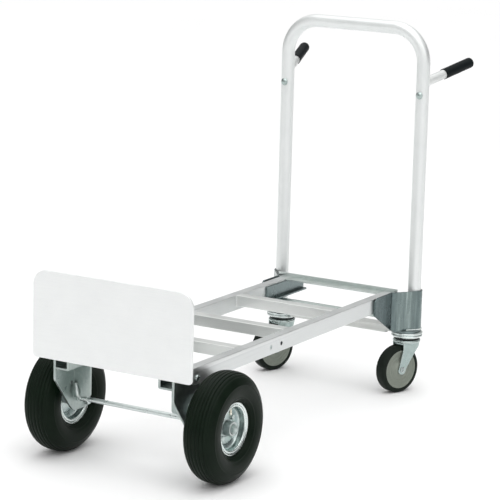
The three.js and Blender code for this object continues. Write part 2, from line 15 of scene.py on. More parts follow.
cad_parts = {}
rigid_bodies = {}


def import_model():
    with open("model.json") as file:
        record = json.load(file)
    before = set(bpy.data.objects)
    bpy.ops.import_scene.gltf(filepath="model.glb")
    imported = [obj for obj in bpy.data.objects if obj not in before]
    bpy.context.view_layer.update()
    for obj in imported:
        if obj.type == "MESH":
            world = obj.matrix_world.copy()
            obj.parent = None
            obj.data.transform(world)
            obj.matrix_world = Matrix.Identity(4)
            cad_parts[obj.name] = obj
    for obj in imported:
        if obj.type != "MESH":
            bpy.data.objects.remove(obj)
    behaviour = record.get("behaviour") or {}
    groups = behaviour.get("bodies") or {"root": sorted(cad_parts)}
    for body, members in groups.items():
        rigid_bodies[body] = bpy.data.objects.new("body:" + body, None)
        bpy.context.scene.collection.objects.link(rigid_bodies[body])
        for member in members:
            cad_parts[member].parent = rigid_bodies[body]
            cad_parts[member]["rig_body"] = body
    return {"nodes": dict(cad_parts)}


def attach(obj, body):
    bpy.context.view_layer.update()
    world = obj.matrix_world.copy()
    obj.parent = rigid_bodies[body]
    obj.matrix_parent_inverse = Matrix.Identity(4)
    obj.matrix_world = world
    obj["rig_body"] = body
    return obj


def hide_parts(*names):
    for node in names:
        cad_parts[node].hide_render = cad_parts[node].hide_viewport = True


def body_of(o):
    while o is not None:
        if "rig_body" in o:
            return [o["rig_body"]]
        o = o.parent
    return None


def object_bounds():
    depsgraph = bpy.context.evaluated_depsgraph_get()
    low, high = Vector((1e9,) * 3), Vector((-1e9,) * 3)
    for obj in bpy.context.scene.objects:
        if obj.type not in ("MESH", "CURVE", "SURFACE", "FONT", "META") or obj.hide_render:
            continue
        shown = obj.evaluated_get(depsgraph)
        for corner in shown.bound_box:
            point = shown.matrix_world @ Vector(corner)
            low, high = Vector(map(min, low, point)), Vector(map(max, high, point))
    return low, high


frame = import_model()
cad_low, cad_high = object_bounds()

MM = 0.001
TAU = 2 * math.pi
SCENE = bpy.context.scene
SIDES = {"right": 1, "left": -1}

# ---------- dimensions, close to the CAD model's ----------
DECK = 268                               # height of the load frame's top
RAIL_INNER, RAIL_OUTER, RAIL_HEIGHT, RAIL_WALL = 140, 165, 40, 2.5
RAIL_FRONT, RAIL_REAR = 6.5, 1050
COPE_REAR, COPE_HEIGHT = 88, 28          # the part cut away under the rail's front end
RAIL_BOLT = (105, 243)                   # y and z, as for the holes and the tie rod
RAIL_HOLES = ((431, 247), (480, 247))
CROSSBARS = {"front": 304, "middle": 528, "rear": 769}
CROSSBAR_WIDTH, CROSSBAR_HEIGHT = 30, 28
TOE = {"half": 217, "bottom": 256, "top": 462, "thickness": 6, "top_radius": 36, "bottom_radius": 9}
WHEEL = (219.5, 135, 130)
TIE_ROD = (100, 145)
BRACKET_INNER = 159                      # inner face of the front wheel bracket's side plate
TUBE = {"x": 200.5, "y": 1105, "radius": 17, "wall": 2.5, "bottom": 166.5, "top": 950.5, "bend": 88}
SOCKET = {"top": 270, "sheet": 4, "gap": 0.5, "plate_x": 170, "front": 945, "bend": 1033, "lap": 4,
          "front_low": 223, "slope_end": 1039, "nick": 9}
BASE = {"inner": 163, "outer": 222, "front": 1056, "rear": 1128, "bottom": 160, "top": 166}
REAR_ANGLE = {"front": 1015, "rear": 1052, "sheet": 4, "top": 276.8, "span": 178.8}
INNER_ANGLE = {"front": 918, "rear": 1116, "bottom": 226, "top": 262.8, "sheet": 4, "flange": 17}
CASTER = {"x": 190, "y": 1093, "turn": -20, "trail": 31, "radius": 62.5}
FORK = {"top": 139, "waist": 118, "front": -29, "back": 24, "tip": 13, "inner": 18.5, "outer": 22}
ARM_START = Vector((200.5, 1105, 813))
ARM_ALONG = Vector((27.7, 97, 24)).normalized()
ARM_RADIUS = 12
STOP_BOLT_Z = 783
SEAM = 2.4                               # groove between the rail plate and the handle socket

# ---------- view and surroundings ----------
VIEW_AZIMUTH, VIEW_ELEVATION, VIEW_ROLL = (math.radians(angle) for angle in (30.91, 11.86, 1.49))
CAMERA_POSITION = Vector((2.7557, -4.6469, 1.5605))
CAMERA_LENS, CAMERA_SENSOR = 160.59, 36  # millimetres
FLOOR_REACH = 80
WALL_RADIUS, WALL_HEIGHT = 50, 8
# The sky's brightness along three axes: (0 against the axis to 1 along it, brightness).
SKY_UPWARD = ((0.0, 0.8), (0.49, 0.42), (0.58, 0.46), (0.72, 0.86), (1.0, 1.32))
SKY_ACROSS = ((0.0, 0.2), (0.14, 0.42), (0.32, 1.15), (0.5, 1.42), (0.68, 1.15), (0.86, 0.42),
              (1.0, 0.2))
SKY_AWAY = ((0.5, 1.0), (0.75, 0.75), (1.0, 0.45))
SKY_STRENGTH = 1.17


def row(point):
    """A point of the truck, in millimetres, in the frame's metres."""
    x, y, z = point
    return Vector((x * MM, y * MM + cad_low.y, z * MM))


# ---------- procedural materials ----------
class Graph:
    """A small builder for a node tree."""

    def __init__(self, tree, coordinates):
        self.tree = tree
        self.coordinates = self.node("ShaderNodeTexCoord", coordinates)

    def node(self, kind, output, inputs=None, **settings):
        """The output of a new node; an input's value is a constant or another node's output."""
        node = self.tree.nodes.new(kind)
        for key, value in settings.items():
            setattr(node, key, value)
        for key, value in (inputs or {}).items():
            if isinstance(value, bpy.types.NodeSocket):
                self.tree.links.new(value, node.inputs[key])
            else:
                node.inputs[key].default_value = value
        return node.outputs[output]

    def ramp(self, source, stops):
        """A colour ramp; a stop is (position, value or colour)."""
        output = self.node("ShaderNodeValToRGB", "Color", {"Fac": source})
        elements = output.node.color_ramp.elements
        while len(elements) < len(stops):
            elements.new(0.5)
        for element, (position, value) in zip(elements, stops):
            element.position = position
            element.color = (*value, 1) if isinstance(value, tuple) else (value, value, value, 1)
        return output

    def mix(self, first, second, factor, blend="MIX"):
        """Two colours mixed; each is a node's output or (red, green, blue)."""
        first, second = ((*c, 1) if isinstance(c, tuple) else c for c in (first, second))
        return self.node("ShaderNodeMix", 2, {0: factor, 6: first, 7: second}, data_type="RGBA",
                         blend_type=blend)


class Nodes(Graph):
    """One material's node tree around its Principled shader."""

    def __init__(self, name, metallic=0.0, roughness=0.5, **constants):
        self.material = bpy.data.materials.new(name)
        self.material.use_nodes = True
        super().__init__(self.material.node_tree, "Object")
        self.shader = self.tree.nodes["Principled BSDF"]
        constants.update(Metallic=metallic, Roughness=roughness)
        for socket_name, value in constants.items():
            self.shader.inputs[socket_name.replace("_", " ")].default_value = value
        self.normal = None

    def noise(self, size_mm, stretch=(1, 1, 1), detail=3.0, rough=0.55):
        """Noise whose blobs are about size_mm across, times the stretch on each axis."""
        stretched = self.node("ShaderNodeMapping", "Vector",
                              {"Vector": self.coordinates, "Scale": [1 / s for s in stretch]})
        return self.node("ShaderNodeTexNoise", "Fac", {"Vector": stretched, "Scale": 1000 / size_mm,
                                                       "Detail": detail, "Roughness": rough})

    def crystals(self, size_mm):
        """One random grey for each cell of a pattern of cells about size_mm across."""
        cells = self.node("ShaderNodeTexVoronoi", "Color",
                          {"Vector": self.coordinates, "Scale": 1000 / size_mm}, feature="F1")
        return self.node("ShaderNodeRGBToBW", "Val", {"Color": cells})

    def scaled(self, source, factor):
        return self.node("ShaderNodeMath", "Value", {0: source, 1: factor}, operation="MULTIPLY")

    def bump(self, height, distance_mm):
        """Adds relief to the surface, on top of the relief already there."""
        inputs = {"Strength": 1.0, "Distance": distance_mm * MM, "Height": height}
        if self.normal:
            inputs["Normal"] = self.normal
        self.normal = self.node("ShaderNodeBump", "Normal", inputs)
        self.tree.links.new(self.normal, self.shader.inputs["Normal"])

    def across_x(self, near_mm, far_mm):
        """0 to 1 as the distance from the truck's middle plane goes from near to far."""
        x = self.node("ShaderNodeSeparateXYZ", "X", {"Vector": self.coordinates})
        size = self.node("ShaderNodeMath", "Value", {0: x}, operation="ABSOLUTE")
        return self.between(size, near_mm, far_mm)

    def from_axle(self, near_mm, far_mm):
        """0 to 1 as the distance from the front wheels' axis goes from near to far."""
        flat = self.node("ShaderNodeVectorMath", "Vector", {0: self.coordinates, 1: (0, 1, 1)},
                         operation="MULTIPLY")
        apart = self.node("ShaderNodeVectorMath", "Value", {0: flat, 1: row((0, WHEEL[1], WHEEL[2]))},
                          operation="DISTANCE")
        return self.between(apart, near_mm, far_mm)

    def between(self, source, near_mm, far_mm):
        """0 to 1 as a length goes from near to far."""
        inputs = {"Value": source, "From Min": near_mm * MM, "From Max": far_mm * MM}
        return self.node("ShaderNodeMapRange", "Result", inputs, interpolation_type="SMOOTHSTEP")

    def edge_wear(self):
        """A painted highlight: white where the surface bends outwards sharply."""
        return self.ramp(self.node("ShaderNodeNewGeometry", "Pointiness"), [(0.505, 0.0), (0.56, 1.0)])

    def finish(self, colour=None, roughness=None):
        for output, target in ((colour, "Base Color"), (roughness, "Roughness")):
            if output is not None:
                self.tree.links.new(output, self.shader.inputs[target])
        return self.material


def brushed_aluminium(name, dark, light, lines, rough_low, rough_high, metallic=1.0):
    """Extruded or rolled aluminium: long die lines, cloudy oxide and small scuffs."""
    n = Nodes(name, metallic=metallic, roughness=0.4)
    streaks = n.noise(1.1, lines, detail=2)
    clouds = n.noise(70, detail=4)
    scuffs = n.ramp(n.noise(9, (1.6, 0.6, 1), detail=8, rough=0.75), [(0.6, 0.0), (0.7, 1.0)])
    tint = n.mix(n.ramp(streaks, [(0.25, dark), (0.75, light)]),
                 n.ramp(clouds, [(0.3, dark), (0.7, light)]), 0.55)
    dull = tuple(0.86 * c for c in dark)
    colour = n.mix(tint, dull, n.scaled(scuffs, 0.22))
    # painted highlight on sharp edges
    colour = n.mix(colour, (0.93, 0.94, 0.93), n.scaled(n.edge_wear(), 0.5))
    n.bump(streaks, 0.02)
    n.bump(n.noise(16, detail=2), 0.05)
    worn = rough_high + 0.1
    rough = n.mix(n.ramp(clouds, [(0.3, rough_low), (0.75, rough_high)]), (worn, worn, worn), scuffs)
    return n.finish(colour, rough)


def spangled_steel(name, dark, light, rough_low, rough_high):
    """Galvanised sheet: faint crystal spangle, dull clouds, brushed streaks and a painted highlight on the
    edges.
    """
    n = Nodes(name, metallic=1.0, roughness=0.4)
    spangle = n.crystals(7)
    clouds = n.noise(34, (1, 1, 1.6), detail=5, rough=0.62)
    streaks = n.noise(1.6, (1, 1, 8), detail=3)
    base = n.mix(n.ramp(clouds, [(0.3, dark), (0.72, light)]),
                 n.ramp(streaks, [(0.3, dark), (0.7, light)]), 0.4)
    colour = n.mix(base, n.ramp(spangle, [(0.2, dark), (0.85, light)]), 0.3)
    # painted highlight on sharp edges, in a paler colour
    bright = tuple(min(1.0, 1.25 * c + 0.08) for c in light)
    colour = n.mix(colour, bright, n.scaled(n.edge_wear(), 0.6))
    n.bump(streaks, 0.02)
    n.bump(clouds, 0.12)
    rough = n.mix(n.ramp(spangle, [(0.2, rough_low), (0.85, rough_high)]),
                  n.ramp(clouds, [(0.3, rough_low), (0.7, rough_high)]), 0.5)
    return n.finish(colour, rough)


def plated_zinc(name, dark, light, rough_low, rough_high):
    """Bright zinc plating on pressed steel."""
    n = Nodes(name, metallic=1.0, roughness=0.3)
    clouds = n.noise(22, detail=5, rough=0.6)
    fine = n.noise(1.3, detail=3)
    colour = n.mix(n.ramp(clouds, [(0.3, dark), (0.7, light)]),
                   n.ramp(fine, [(0.35, dark), (0.65, light)]), 0.2)
    # painted highlight on sharp edges
    colour = n.mix(colour, (0.90, 0.93, 0.91), n.scaled(n.edge_wear(), 0.3))
    n.bump(fine, 0.006)
    n.bump(clouds, 0.03)
    return n.finish(colour, n.ramp(clouds, [(0.3, rough_low), (0.75, rough_high)]))


def socket_steel(name):
    """Dull plated sheet with long vertical streaks; a painted reflection makes it paler round the handle
    socket, and painted shade darkens the round's outer side again.
    """
    n = Nodes(name, metallic=1.0, roughness=0.3)
    broad = n.noise(9, (1, 1, 14), detail=4, rough=0.6)
    fine = n.noise(2.2, (1, 1, 22), detail=3)
    clouds = n.noise(26, (1, 1, 1.4), detail=5)
    plate = n.ramp(broad, [(0.3, (0.050, 0.076, 0.082)), (0.72, (0.10, 0.14, 0.145))])
    # painted reflection: the paler colour of the sheet where it rounds the handle tube
    round_painted_reflection = n.ramp(broad, [(0.34, (0.135, 0.175, 0.175)), (0.55, (0.20, 0.25, 0.245)),
                           (0.7, (0.36, 0.43, 0.415))])
    # painted reflection paler across the round, then painted shade back towards the dark plate colour on
    # its outer side
    colour = n.mix(plate, round_painted_reflection, n.across_x(172, 190))
    colour = n.mix(colour, plate, n.scaled(n.across_x(205, 223), 0.6))
    colour = n.mix(colour, n.ramp(fine, [(0.35, (0.06, 0.085, 0.09)), (0.7, (0.28, 0.34, 0.33))]), 0.1)
    # painted highlight on sharp edges
    colour = n.mix(colour, (0.50, 0.57, 0.55), n.scaled(n.edge_wear(), 0.15))
    n.bump(broad, 0.05)
    n.bump(fine, 0.015)
    return n.finish(colour, n.ramp(clouds, [(0.3, 0.2), (0.72, 0.36)]))


def rim_zinc(name):
    """Zinc plating, painted paler on the rolled lip (painted highlight) and darker down the dish and at
    the hub flange (painted shade in the recess).
    """
    n = Nodes(name, metallic=1.0, roughness=0.28)
    clouds = n.noise(15, detail=5, rough=0.65)
    fine = n.noise(1.2, detail=3)
    dish_painted_shade = n.ramp(clouds, [(0.3, (0.20, 0.26, 0.26)), (0.7, (0.42, 0.50, 0.49))])
    lip_painted_highlight = n.ramp(clouds, [(0.3, (0.60, 0.67, 0.655)), (0.7, (0.76, 0.82, 0.80))])
    # painted highlight on the lip, painted shade down the recessed dish
    colour = n.mix(dish_painted_shade, lip_painted_highlight, n.from_axle(44, 53))
    # painted highlight on sharp edges
    colour = n.mix(colour, (0.92, 0.95, 0.93), n.scaled(n.edge_wear(), 0.3))
    n.bump(fine, 0.006)
    n.bump(clouds, 0.05)
    return n.finish(colour, n.ramp(clouds, [(0.3, 0.18), (0.75, 0.32)]))


def rubber(name, dark, light, rough_low, rough_high, grain_mm=0.9, grain_depth=0.05):
    """Moulded rubber or plastic with a fine grain and a trace of dust."""
    n = Nodes(name, roughness=rough_high, Specular_IOR_Level=0.11)
    grain = n.noise(grain_mm, detail=4, rough=0.65)
    dust = n.noise(28, detail=6, rough=0.7)
    colour = n.mix(n.ramp(dust, [(0.35, dark), (0.8, light)]),
                   n.ramp(grain, [(0.3, dark), (0.8, light)]), 0.35)
    n.bump(grain, grain_depth)
    return n.finish(colour, n.ramp(dust, [(0.3, rough_low), (0.7, rough_high)]))


def weld_metal(name, dark, light):
    """Mottled weld metal."""
    n = Nodes(name, metallic=1.0, roughness=0.35)
    mottle = n.noise(3.2, detail=6, rough=0.7)
    colour = n.ramp(mottle, [(0.3, dark), (0.5, light), (0.75, dark)])
    n.bump(mottle, 0.25)
    return n.finish(colour, n.ramp(mottle, [(0.3, 0.25), (0.7, 0.5)]))


ALONG_X, ALONG_Y, ALONG_Z = (60, 1, 1), (1, 60, 1), (1, 1, 60)  # how the die lines are stretched
MATERIALS = {name: make(name, *settings) for name, make, *settings in (
    ("anodised", brushed_aluminium, (0.74, 0.765, 0.76), (0.83, 0.85, 0.845), ALONG_Z, 0.36, 0.48, 0.6),
    ("rail_aluminium", brushed_aluminium, (0.50, 0.525, 0.53), (0.63, 0.655, 0.655), ALONG_Y, 0.34, 0.45),
    ("crossbar_aluminium", brushed_aluminium, (0.62, 0.645, 0.63), (0.75, 0.77, 0.75), ALONG_X,
     0.36, 0.46),
    ("arm_aluminium", brushed_aluminium, (0.54, 0.56, 0.555), (0.66, 0.68, 0.67), ALONG_Y, 0.42, 0.56,
     0.35),
    ("lower_aluminium", brushed_aluminium, (0.40, 0.42, 0.40), (0.54, 0.56, 0.53), ALONG_X, 0.36, 0.48),
    ("toe_aluminium", brushed_aluminium, (0.82, 0.835, 0.835), (0.90, 0.915, 0.91), (40, 1, 1), 0.45, 0.56,
     0.75),
    ("galvanised", spangled_steel, (0.085, 0.115, 0.12), (0.19, 0.235, 0.235), 0.24, 0.4),
    ("galvanised_light", spangled_steel, (0.38, 0.42, 0.41), (0.56, 0.61, 0.59), 0.28, 0.46),
    ("galvanised_mid", spangled_steel, (0.26, 0.31, 0.30), (0.42, 0.47, 0.45), 0.26, 0.42),
    ("zinc", plated_zinc, (0.30, 0.375, 0.365), (0.44, 0.52, 0.50), 0.22, 0.36),
    ("zinc_bright", plated_zinc, (0.58, 0.64, 0.63), (0.74, 0.80, 0.785), 0.24, 0.38),
    ("zinc_dull", plated_zinc, (0.34, 0.38, 0.38), (0.48, 0.53, 0.52), 0.3, 0.48),
    ("socket_steel", socket_steel),
    ("rim_zinc", rim_zinc),
    ("brass_nickel", plated_zinc, (0.60, 0.56, 0.44), (0.76, 0.73, 0.62), 0.2, 0.34),
    ("tyre", rubber, (0.001, 0.0052, 0.0018), (0.005, 0.0125, 0.006), 0.36, 0.5),
    ("caster_tread", rubber, (0.006, 0.010, 0.007), (0.016, 0.022, 0.017), 0.42, 0.6),
    ("caster_hub", rubber, (0.215, 0.24, 0.205), (0.285, 0.305, 0.265), 0.42, 0.55, 1.6, 0.03),
    ("grip", rubber, (0.003, 0.005, 0.006), (0.008, 0.012, 0.013), 0.45, 0.6, 0.7, 0.09),
    # near-black ring colour: painted shade in the gap of the caster's swivel bearing
    ("seal", rubber, (0.02, 0.022, 0.022), (0.05, 0.055, 0.055), 0.4, 0.55),
    ("weld", weld_metal, (0.42, 0.46, 0.46), (0.86, 0.90, 0.88)),
    ("aluminium_weld", weld_metal, (0.60, 0.62, 0.61), (0.88, 0.89, 0.88)),
)}


# ---------- mesh helpers ----------
def body_of_node(node):
    return body_of(frame["nodes"][node])[0]


def piece(name, mesh, material, node=None, body=None, slot=None, sharp=32, bevel=0.0, segments=2):
    """Links a mesh as a piece: material, shading, optional bevel and the body it rides on; the slot is not
    used.
    """
    obj = bpy.data.objects.new(name, mesh)
    SCENE.collection.objects.link(obj)
    mesh.materials.clear()
    mesh.materials.append(MATERIALS[material])
    mesh.polygons.foreach_set("use_smooth", [True] * len(mesh.polygons))
    if bevel:
        modifier = obj.modifiers.new("edges", "BEVEL")
        modifier.width, modifier.segments = bevel * MM, segments
        modifier.limit_method, modifier.angle_limit = "ANGLE", math.radians(sharp)
        modifier.use_clamp_overlap = False
        weighted = obj.modifiers.new("shading", "WEIGHTED_NORMAL")
        weighted.weight, weighted.keep_sharp = 100, False
    else:
        mesh.set_sharp_from_angle(angle=math.radians(sharp))
    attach(obj, body or body_of_node(node))
    if node:
        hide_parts(node)


def clean_mesh(name, bm):
    """Merges doubled points, turns all faces outwards and frees the bmesh."""
    bmesh.ops.remove_doubles(bm, verts=bm.verts, dist=1e-6)
    bmesh.ops.recalc_face_normals(bm, faces=bm.faces)
    mesh = bpy.data.meshes.new(name)
    bm.to_mesh(mesh)
    bm.free()
    return mesh


def circle(radius, count):
    """Points (u, v) on a circle about the origin."""
    angles = [i * TAU / count for i in range(count)]
    return [(radius * math.cos(t), radius * math.sin(t)) for t in angles]


class Shell:
    """Collects closed surfaces, in millimetres, into one mesh."""

    def __init__(self):
        self.bm = bmesh.new()

    def grid(self, rings, close_rings=False, caps=True):
        """Quads between rings of points; the last ring may join the first, else caps fill the ends."""
        made = [[self.bm.verts.new(row(p)) for p in ring] for ring in rings]
        pairs = list(zip(made, made[1:])) + ([(made[-1], made[0])] if close_rings else [])
        for first, second in pairs:
            for i in range(len(first)):
                j = (i + 1) % len(first)
                self.bm.faces.new((first[i], first[j], second[j], second[i]))
        if caps and not close_rings:
            self.bm.faces.new(made[0])
            self.bm.faces.new(made[-1])

    def turned(self, profile, place, segments):
        """An outline turned about the local axis; one that starts and ends on the axis closes on it."""
        rings = [[place(a, u, v) for u, v in circle(r, segments)] for a, r in profile if r > 0]
        if profile[0][1] > 0:
            self.grid(rings, close_rings=True)
            return
        self.grid(rings, caps=False)
        for end, ring in ((profile[0], rings[0]), (profile[-1], rings[-1])):
            tip = self.bm.verts.new(row(place(end[0], 0, 0)))
            around = [self.bm.verts.new(row(p)) for p in ring]
            for i in range(segments):
                self.bm.faces.new((tip, around[i], around[(i + 1) % segments]))

    def prism(self, outline, place, start, end):
        """A flat outline of (u, v) pushed from start to end along the third axis."""
        self.grid([[place(u, v, start) for u, v in outline], [place(u, v, end) for u, v in outline]])

    def hexagon(self, place, start, end, radius, chamfer):
        """A hexagon head or nut, a little smaller at its end face."""
        shoulder = end - math.copysign(chamfer, end - start)
        self.grid([[place(along, u, v) for u, v in circle(size, 6)]
                   for along, size in ((start, radius), (shoulder, radius), (end, radius * 0.93))])

    def piece(self, name, material, node, slot, **looks):
        """Hands the shell over as a piece in the place of a node."""
        piece(name, clean_mesh(name, self.bm), material, node=node, slot=slot, **looks)


def turned_piece(name, profile, place, segments, material, node, slot, sharp=32):
    """A piece that is one turned outline."""
    shell = Shell()
    shell.turned(profile, place, segments)
    shell.piece(name, material, node, slot, sharp=sharp)


def mirrored(half):
    """A whole outline from the half that starts at 0 along the axis."""
    return [(-a, r) for a, r in half[::-1]] + half[1:]


def arc(centre, radius, start, end, steps):
    """Points on an arc, angles in degrees."""
    angles = [math.radians(start + (end - start) * i / steps) for i in range(steps + 1)]
    return [(centre[0] + radius * math.cos(a), centre[1] + radius * math.sin(a)) for a in angles]


def rectangle(u0, u1, v0, v1, radii=(0, 0, 0, 0), steps=6):
    """A rectangle's outline, each corner rounded in turn from (u0, v0) by way of (u1, v0)."""
    corners = [Vector(p) for p in ((u0, v0), (u1, v0), (u1, v1), (u0, v1))]
    points = []
    for i, (here, radius) in enumerate(zip(corners, radii)):
        if not radius:
            points.append(tuple(here))
            continue
        before = (corners[i - 1] - here).normalized()
        after = (corners[(i + 1) % 4] - here).normalized()
        centre = here + (before + after) * radius
        start, end = here + before * radius - centre, here + after * radius - centre
        sweep = start.angle_signed(end)
        for k in range(steps + 1):
            turn = -sweep * k / steps
            points.append((centre.x + start.x * math.cos(turn) - start.y * math.sin(turn),
                           centre.y + start.x * math.sin(turn) + start.y * math.cos(turn)))
    return points


def curve_through(points, steps):
    """A smooth open line through points (Catmull-Rom)."""
    points = [Vector(p) for p in points]
    ends = [points[0] * 2 - points[1], *points, points[-1] * 2 - points[-2]]
    line = []
    for a, b, c, d in zip(ends, ends[1:], ends[2:], ends[3:]):
        for k in range(steps):
            t = k / steps
            line.append(0.5 * (2 * b + (c - a) * t + (2 * a - 5 * b + 4 * c - d) * t * t
                               + (3 * b - a - 3 * c + d) * t ** 3))
    return line + [points[-1]]


def direction_at(line, i):
    """Which way a line of Vectors runs at its point i."""
    return (line[min(i + 1, len(line) - 1)] - line[max(i - 1, 0)]).normalized()


def swept(shell, path, radius_at, sides):
    """A round bar along a path of Vectors; radius_at gives its radius by the distance along it."""
    rings, distance = [], 0
    normal = direction_at(path, 0).orthogonal().normalized()
    for i, point in enumerate(path):
        ahead = direction_at(path, i)
        normal = (normal - ahead * normal.dot(ahead)).normalized()
        across = ahead.cross(normal)
        if i:
            distance += (point - path[i - 1]).length
        rings.append([point + normal * u + across * v for u, v in circle(radius_at(distance), sides)])
    shell.grid(rings)


def weld(name, paths, size, body, material="weld", slot="zinc"):
    """Weld beads: bars with a regular ripple and thinner ends, laid along paths."""
    shell = Shell()
    for path in paths:
        path = [Vector(p) for p in path]
        fine = []
        for a, b in zip(path, path[1:]):
            steps = max(2, int((b - a).length / 0.8))
            fine += [a.lerp(b, k / steps) for k in range(steps)]
        fine.append(path[-1])
        length = sum((b - a).length for a, b in zip(fine, fine[1:]))

        def radius_at(distance, length=length):
            taper = min(1.0, 0.45 + min(distance, length - distance) / 3)
            ripple = 1 + 0.16 * math.sin(distance * TAU / 2.7) + 0.07 * math.sin(distance * 1.31 + 2)
            return max(0.3, size * taper * ripple)

        swept(shell, fine, radius_at, 10)
    piece(name, clean_mesh(name, shell.bm), material, body=body, slot=slot, sharp=60)


def about_x(side, centre):
    """Local (along, u, v) to the truck, turned about X; side mirrors it."""
    cx, cy, cz = centre
    return lambda a, u, v: (side * (cx + a), cy + u, cz + v)


def in_xz(u, v, w):
    return (u, w, v)


def in_yz(u, v, w):
    return (w, u, v)


def in_xy(u, v, w):
    return (u, v, w)


def refined(node, material, slot, bevel, segments=2, dissolve=True):
    """The CAD node's own shape with rounded edges, its flats merged unless dissolve is off."""
    bm = bmesh.new()
    bm.from_mesh(frame["nodes"][node].data)
    bmesh.ops.remove_doubles(bm, verts=bm.verts, dist=2e-6)
    if dissolve:
        bmesh.ops.dissolve_limit(bm, angle_limit=math.radians(0.4), verts=bm.verts, edges=bm.edges)
    mesh = clean_mesh(f"{node}_finish", bm)
    piece(f"{node}_finish", mesh, material, node=node, slot=slot, bevel=bevel, segments=segments, sharp=30)


def carved(mesh, cutter):
    """The mesh with the cutter's volume taken away."""
    objects = [bpy.data.objects.new(n, m) for n, m in (("body", mesh), ("cutter", cutter))]
    for obj in objects:
        SCENE.collection.objects.link(obj)
    modifier = objects[0].modifiers.new("cut", "BOOLEAN")
    modifier.operation, modifier.solver, modifier.object = "DIFFERENCE", "EXACT", objects[1]
    evaluated = objects[0].evaluated_get(bpy.context.evaluated_depsgraph_get())
    result = bpy.data.meshes.new_from_object(evaluated)
    for obj in objects:
        bpy.data.objects.remove(obj)
    return result


# ---------- load frame ----------
HOLE_PLUG = [(158, 0), (158, 4.4), (164.4, 4.4), (164.9, 4.0), (165.0, 2.4), (164.6, 1.8), (164.2, 0)]
RAIL_BOLT_SHAPE = [(129, 0), (129, 4), (165.3, 4), (165.4, 8), (166.4, 8), (168, 7.4), (169.6, 5.3),
                   (170.4, 2.8), (170.5, 0)]


def toe_plate():
    radii = [TOE["bottom_radius"]] * 2 + [TOE["top_radius"]] * 2
    shell = Shell()
    shell.prism(rectangle(-TOE["half"], TOE["half"], TOE["bottom"], TOE["top"], radii, 16), in_xz,
                0, TOE["thickness"])
    shell.piece("toe_plate_finish", "toe_aluminium", "toe_plate", "toe_aluminium", bevel=1.6,
                segments=4, sharp=40)


def rail(name, side):
    """A rounded box tube, coped under its front end, with a bolt hole and two hook holes."""
    low = DECK - RAIL_HEIGHT
    ends = (RAIL_FRONT, RAIL_REAR)
    rings = []
    for inset, radius, order in ((0, 2.2, ends), (RAIL_WALL, 0.4, ends[::-1])):
        skin = rectangle(RAIL_INNER + inset, RAIL_OUTER - inset, low + inset, DECK - inset,
                         [radius] * 4, 5)
        rings += [[(side * u, y, v) for u, v in skin] for y in order]
    shell = Shell()
    shell.grid(rings, close_rings=True)
    cutter = Shell()
    cutter.prism(rectangle(0, COPE_REAR, low - 2, low + COPE_HEIGHT), in_yz,
                 side * (RAIL_INNER - 2), side * (RAIL_OUTER + 2))
    through, outer_wall_only, outside = RAIL_INNER - 10, RAIL_OUTER - 7, RAIL_OUTER + 5
    for (y, z), radius, start in ((RAIL_BOLT, 4.5, through), (RAIL_HOLES[0], 5, outer_wall_only),
                                  (RAIL_HOLES[1], 5, outer_wall_only)):
        cutter.turned([(start, 0), (start, radius), (outside, radius), (outside, 0)],
                      about_x(side, (0, y, z)), 40)
    mesh = carved(clean_mesh("rail", shell.bm), clean_mesh("cutter", cutter.bm))
    piece(f"rail_{name}_finish", mesh, "rail_aluminium", node=f"rail_{name}", slot="rail_aluminium",
          bevel=0.35)
    shell = Shell()
    shell.turned(HOLE_PLUG, about_x(side, (0, *RAIL_HOLES[0])), 32)
    piece(f"hole_plug_{name}", clean_mesh("hole_plug", shell.bm), "zinc", body="frame", slot="zinc")


def load_frame():
    toe_plate()
    refined("toe_angle", "rail_aluminium", "rail_aluminium", 0.8)
    for name, side in SIDES.items():
        rail(name, side)
    for name, front in CROSSBARS.items():
        refined(f"crossbar_{name}", "crossbar_aluminium", "rail_aluminium", 0.5)
        ahead, behind = front - 0.2, front + CROSSBAR_WIDTH + 0.2
        high, low = DECK - 3, DECK - CROSSBAR_HEIGHT
        seams = []
        for x in (RAIL_INNER - 0.9, 0.9 - RAIL_INNER):
            seams.append([(x, ahead, high), (x, ahead, low), (x, behind, low), (x, behind, high)])
        weld(f"crossbar_weld_{name}", seams, 1.5, "frame", "aluminium_weld", "rail_aluminium")
    for name, side in SIDES.items():
        shell = Shell()
        place = about_x(side, (0, *RAIL_BOLT))
        shell.turned(RAIL_BOLT_SHAPE, place, 40)
        shell.hexagon(place, 133.4, 126.6, 7.5, 1.0)
        shell.piece(f"rail_bolt_{name}_finish", "zinc", f"rail_bolt_{name}", "zinc")


# ---------- front wheels ----------
TYRE_HALF = [(0, 130), (8, 129.8), (15, 129), (21.5, 127), (27, 124), (32.5, 118.8), (36.5, 112.5),
             (40.2, 104.5), (41.5, 96), (41.3, 88), (40, 80), (37.2, 72.5), (33, 67), (28.6, 64),
             (24.4, 62.6)]
TYRE_INSIDE = [(23.8, 61.5), (23.8, 53), (18, 53), (18, 60), (26, 72), (31, 84), (30, 106), (14, 117),
               (0, 119)]
TREAD_GROOVES = ((5, 1.4, 2.0), (14, 1.4, 2.0), (22.5, 1.3, 1.8), (30, 1.0, 0.7))  # place, width, depth
RIM = [(2.3, 17.2), (2.3, 36), (2.9, 38.6), (4.4, 41.2), (8.6, 47), (10, 48.7), (12, 49.7), (15, 50),
       (23.6, 50.3), (25.2, 50.8), (26.3, 52), (26.8, 53.8), (26.5, 55.2), (26.1, 55.9), (26.3, 56.7),
       (27.3, 58), (27.9, 59.6), (27.6, 61), (26.6, 61.9), (25.4, 61.8), (24.5, 60.9), (24.3, 59.2),
       (24.2, 53.6), (23.2, 52.5), (9.4, 52.2), (0.3, 41), (0.3, 17.2)]
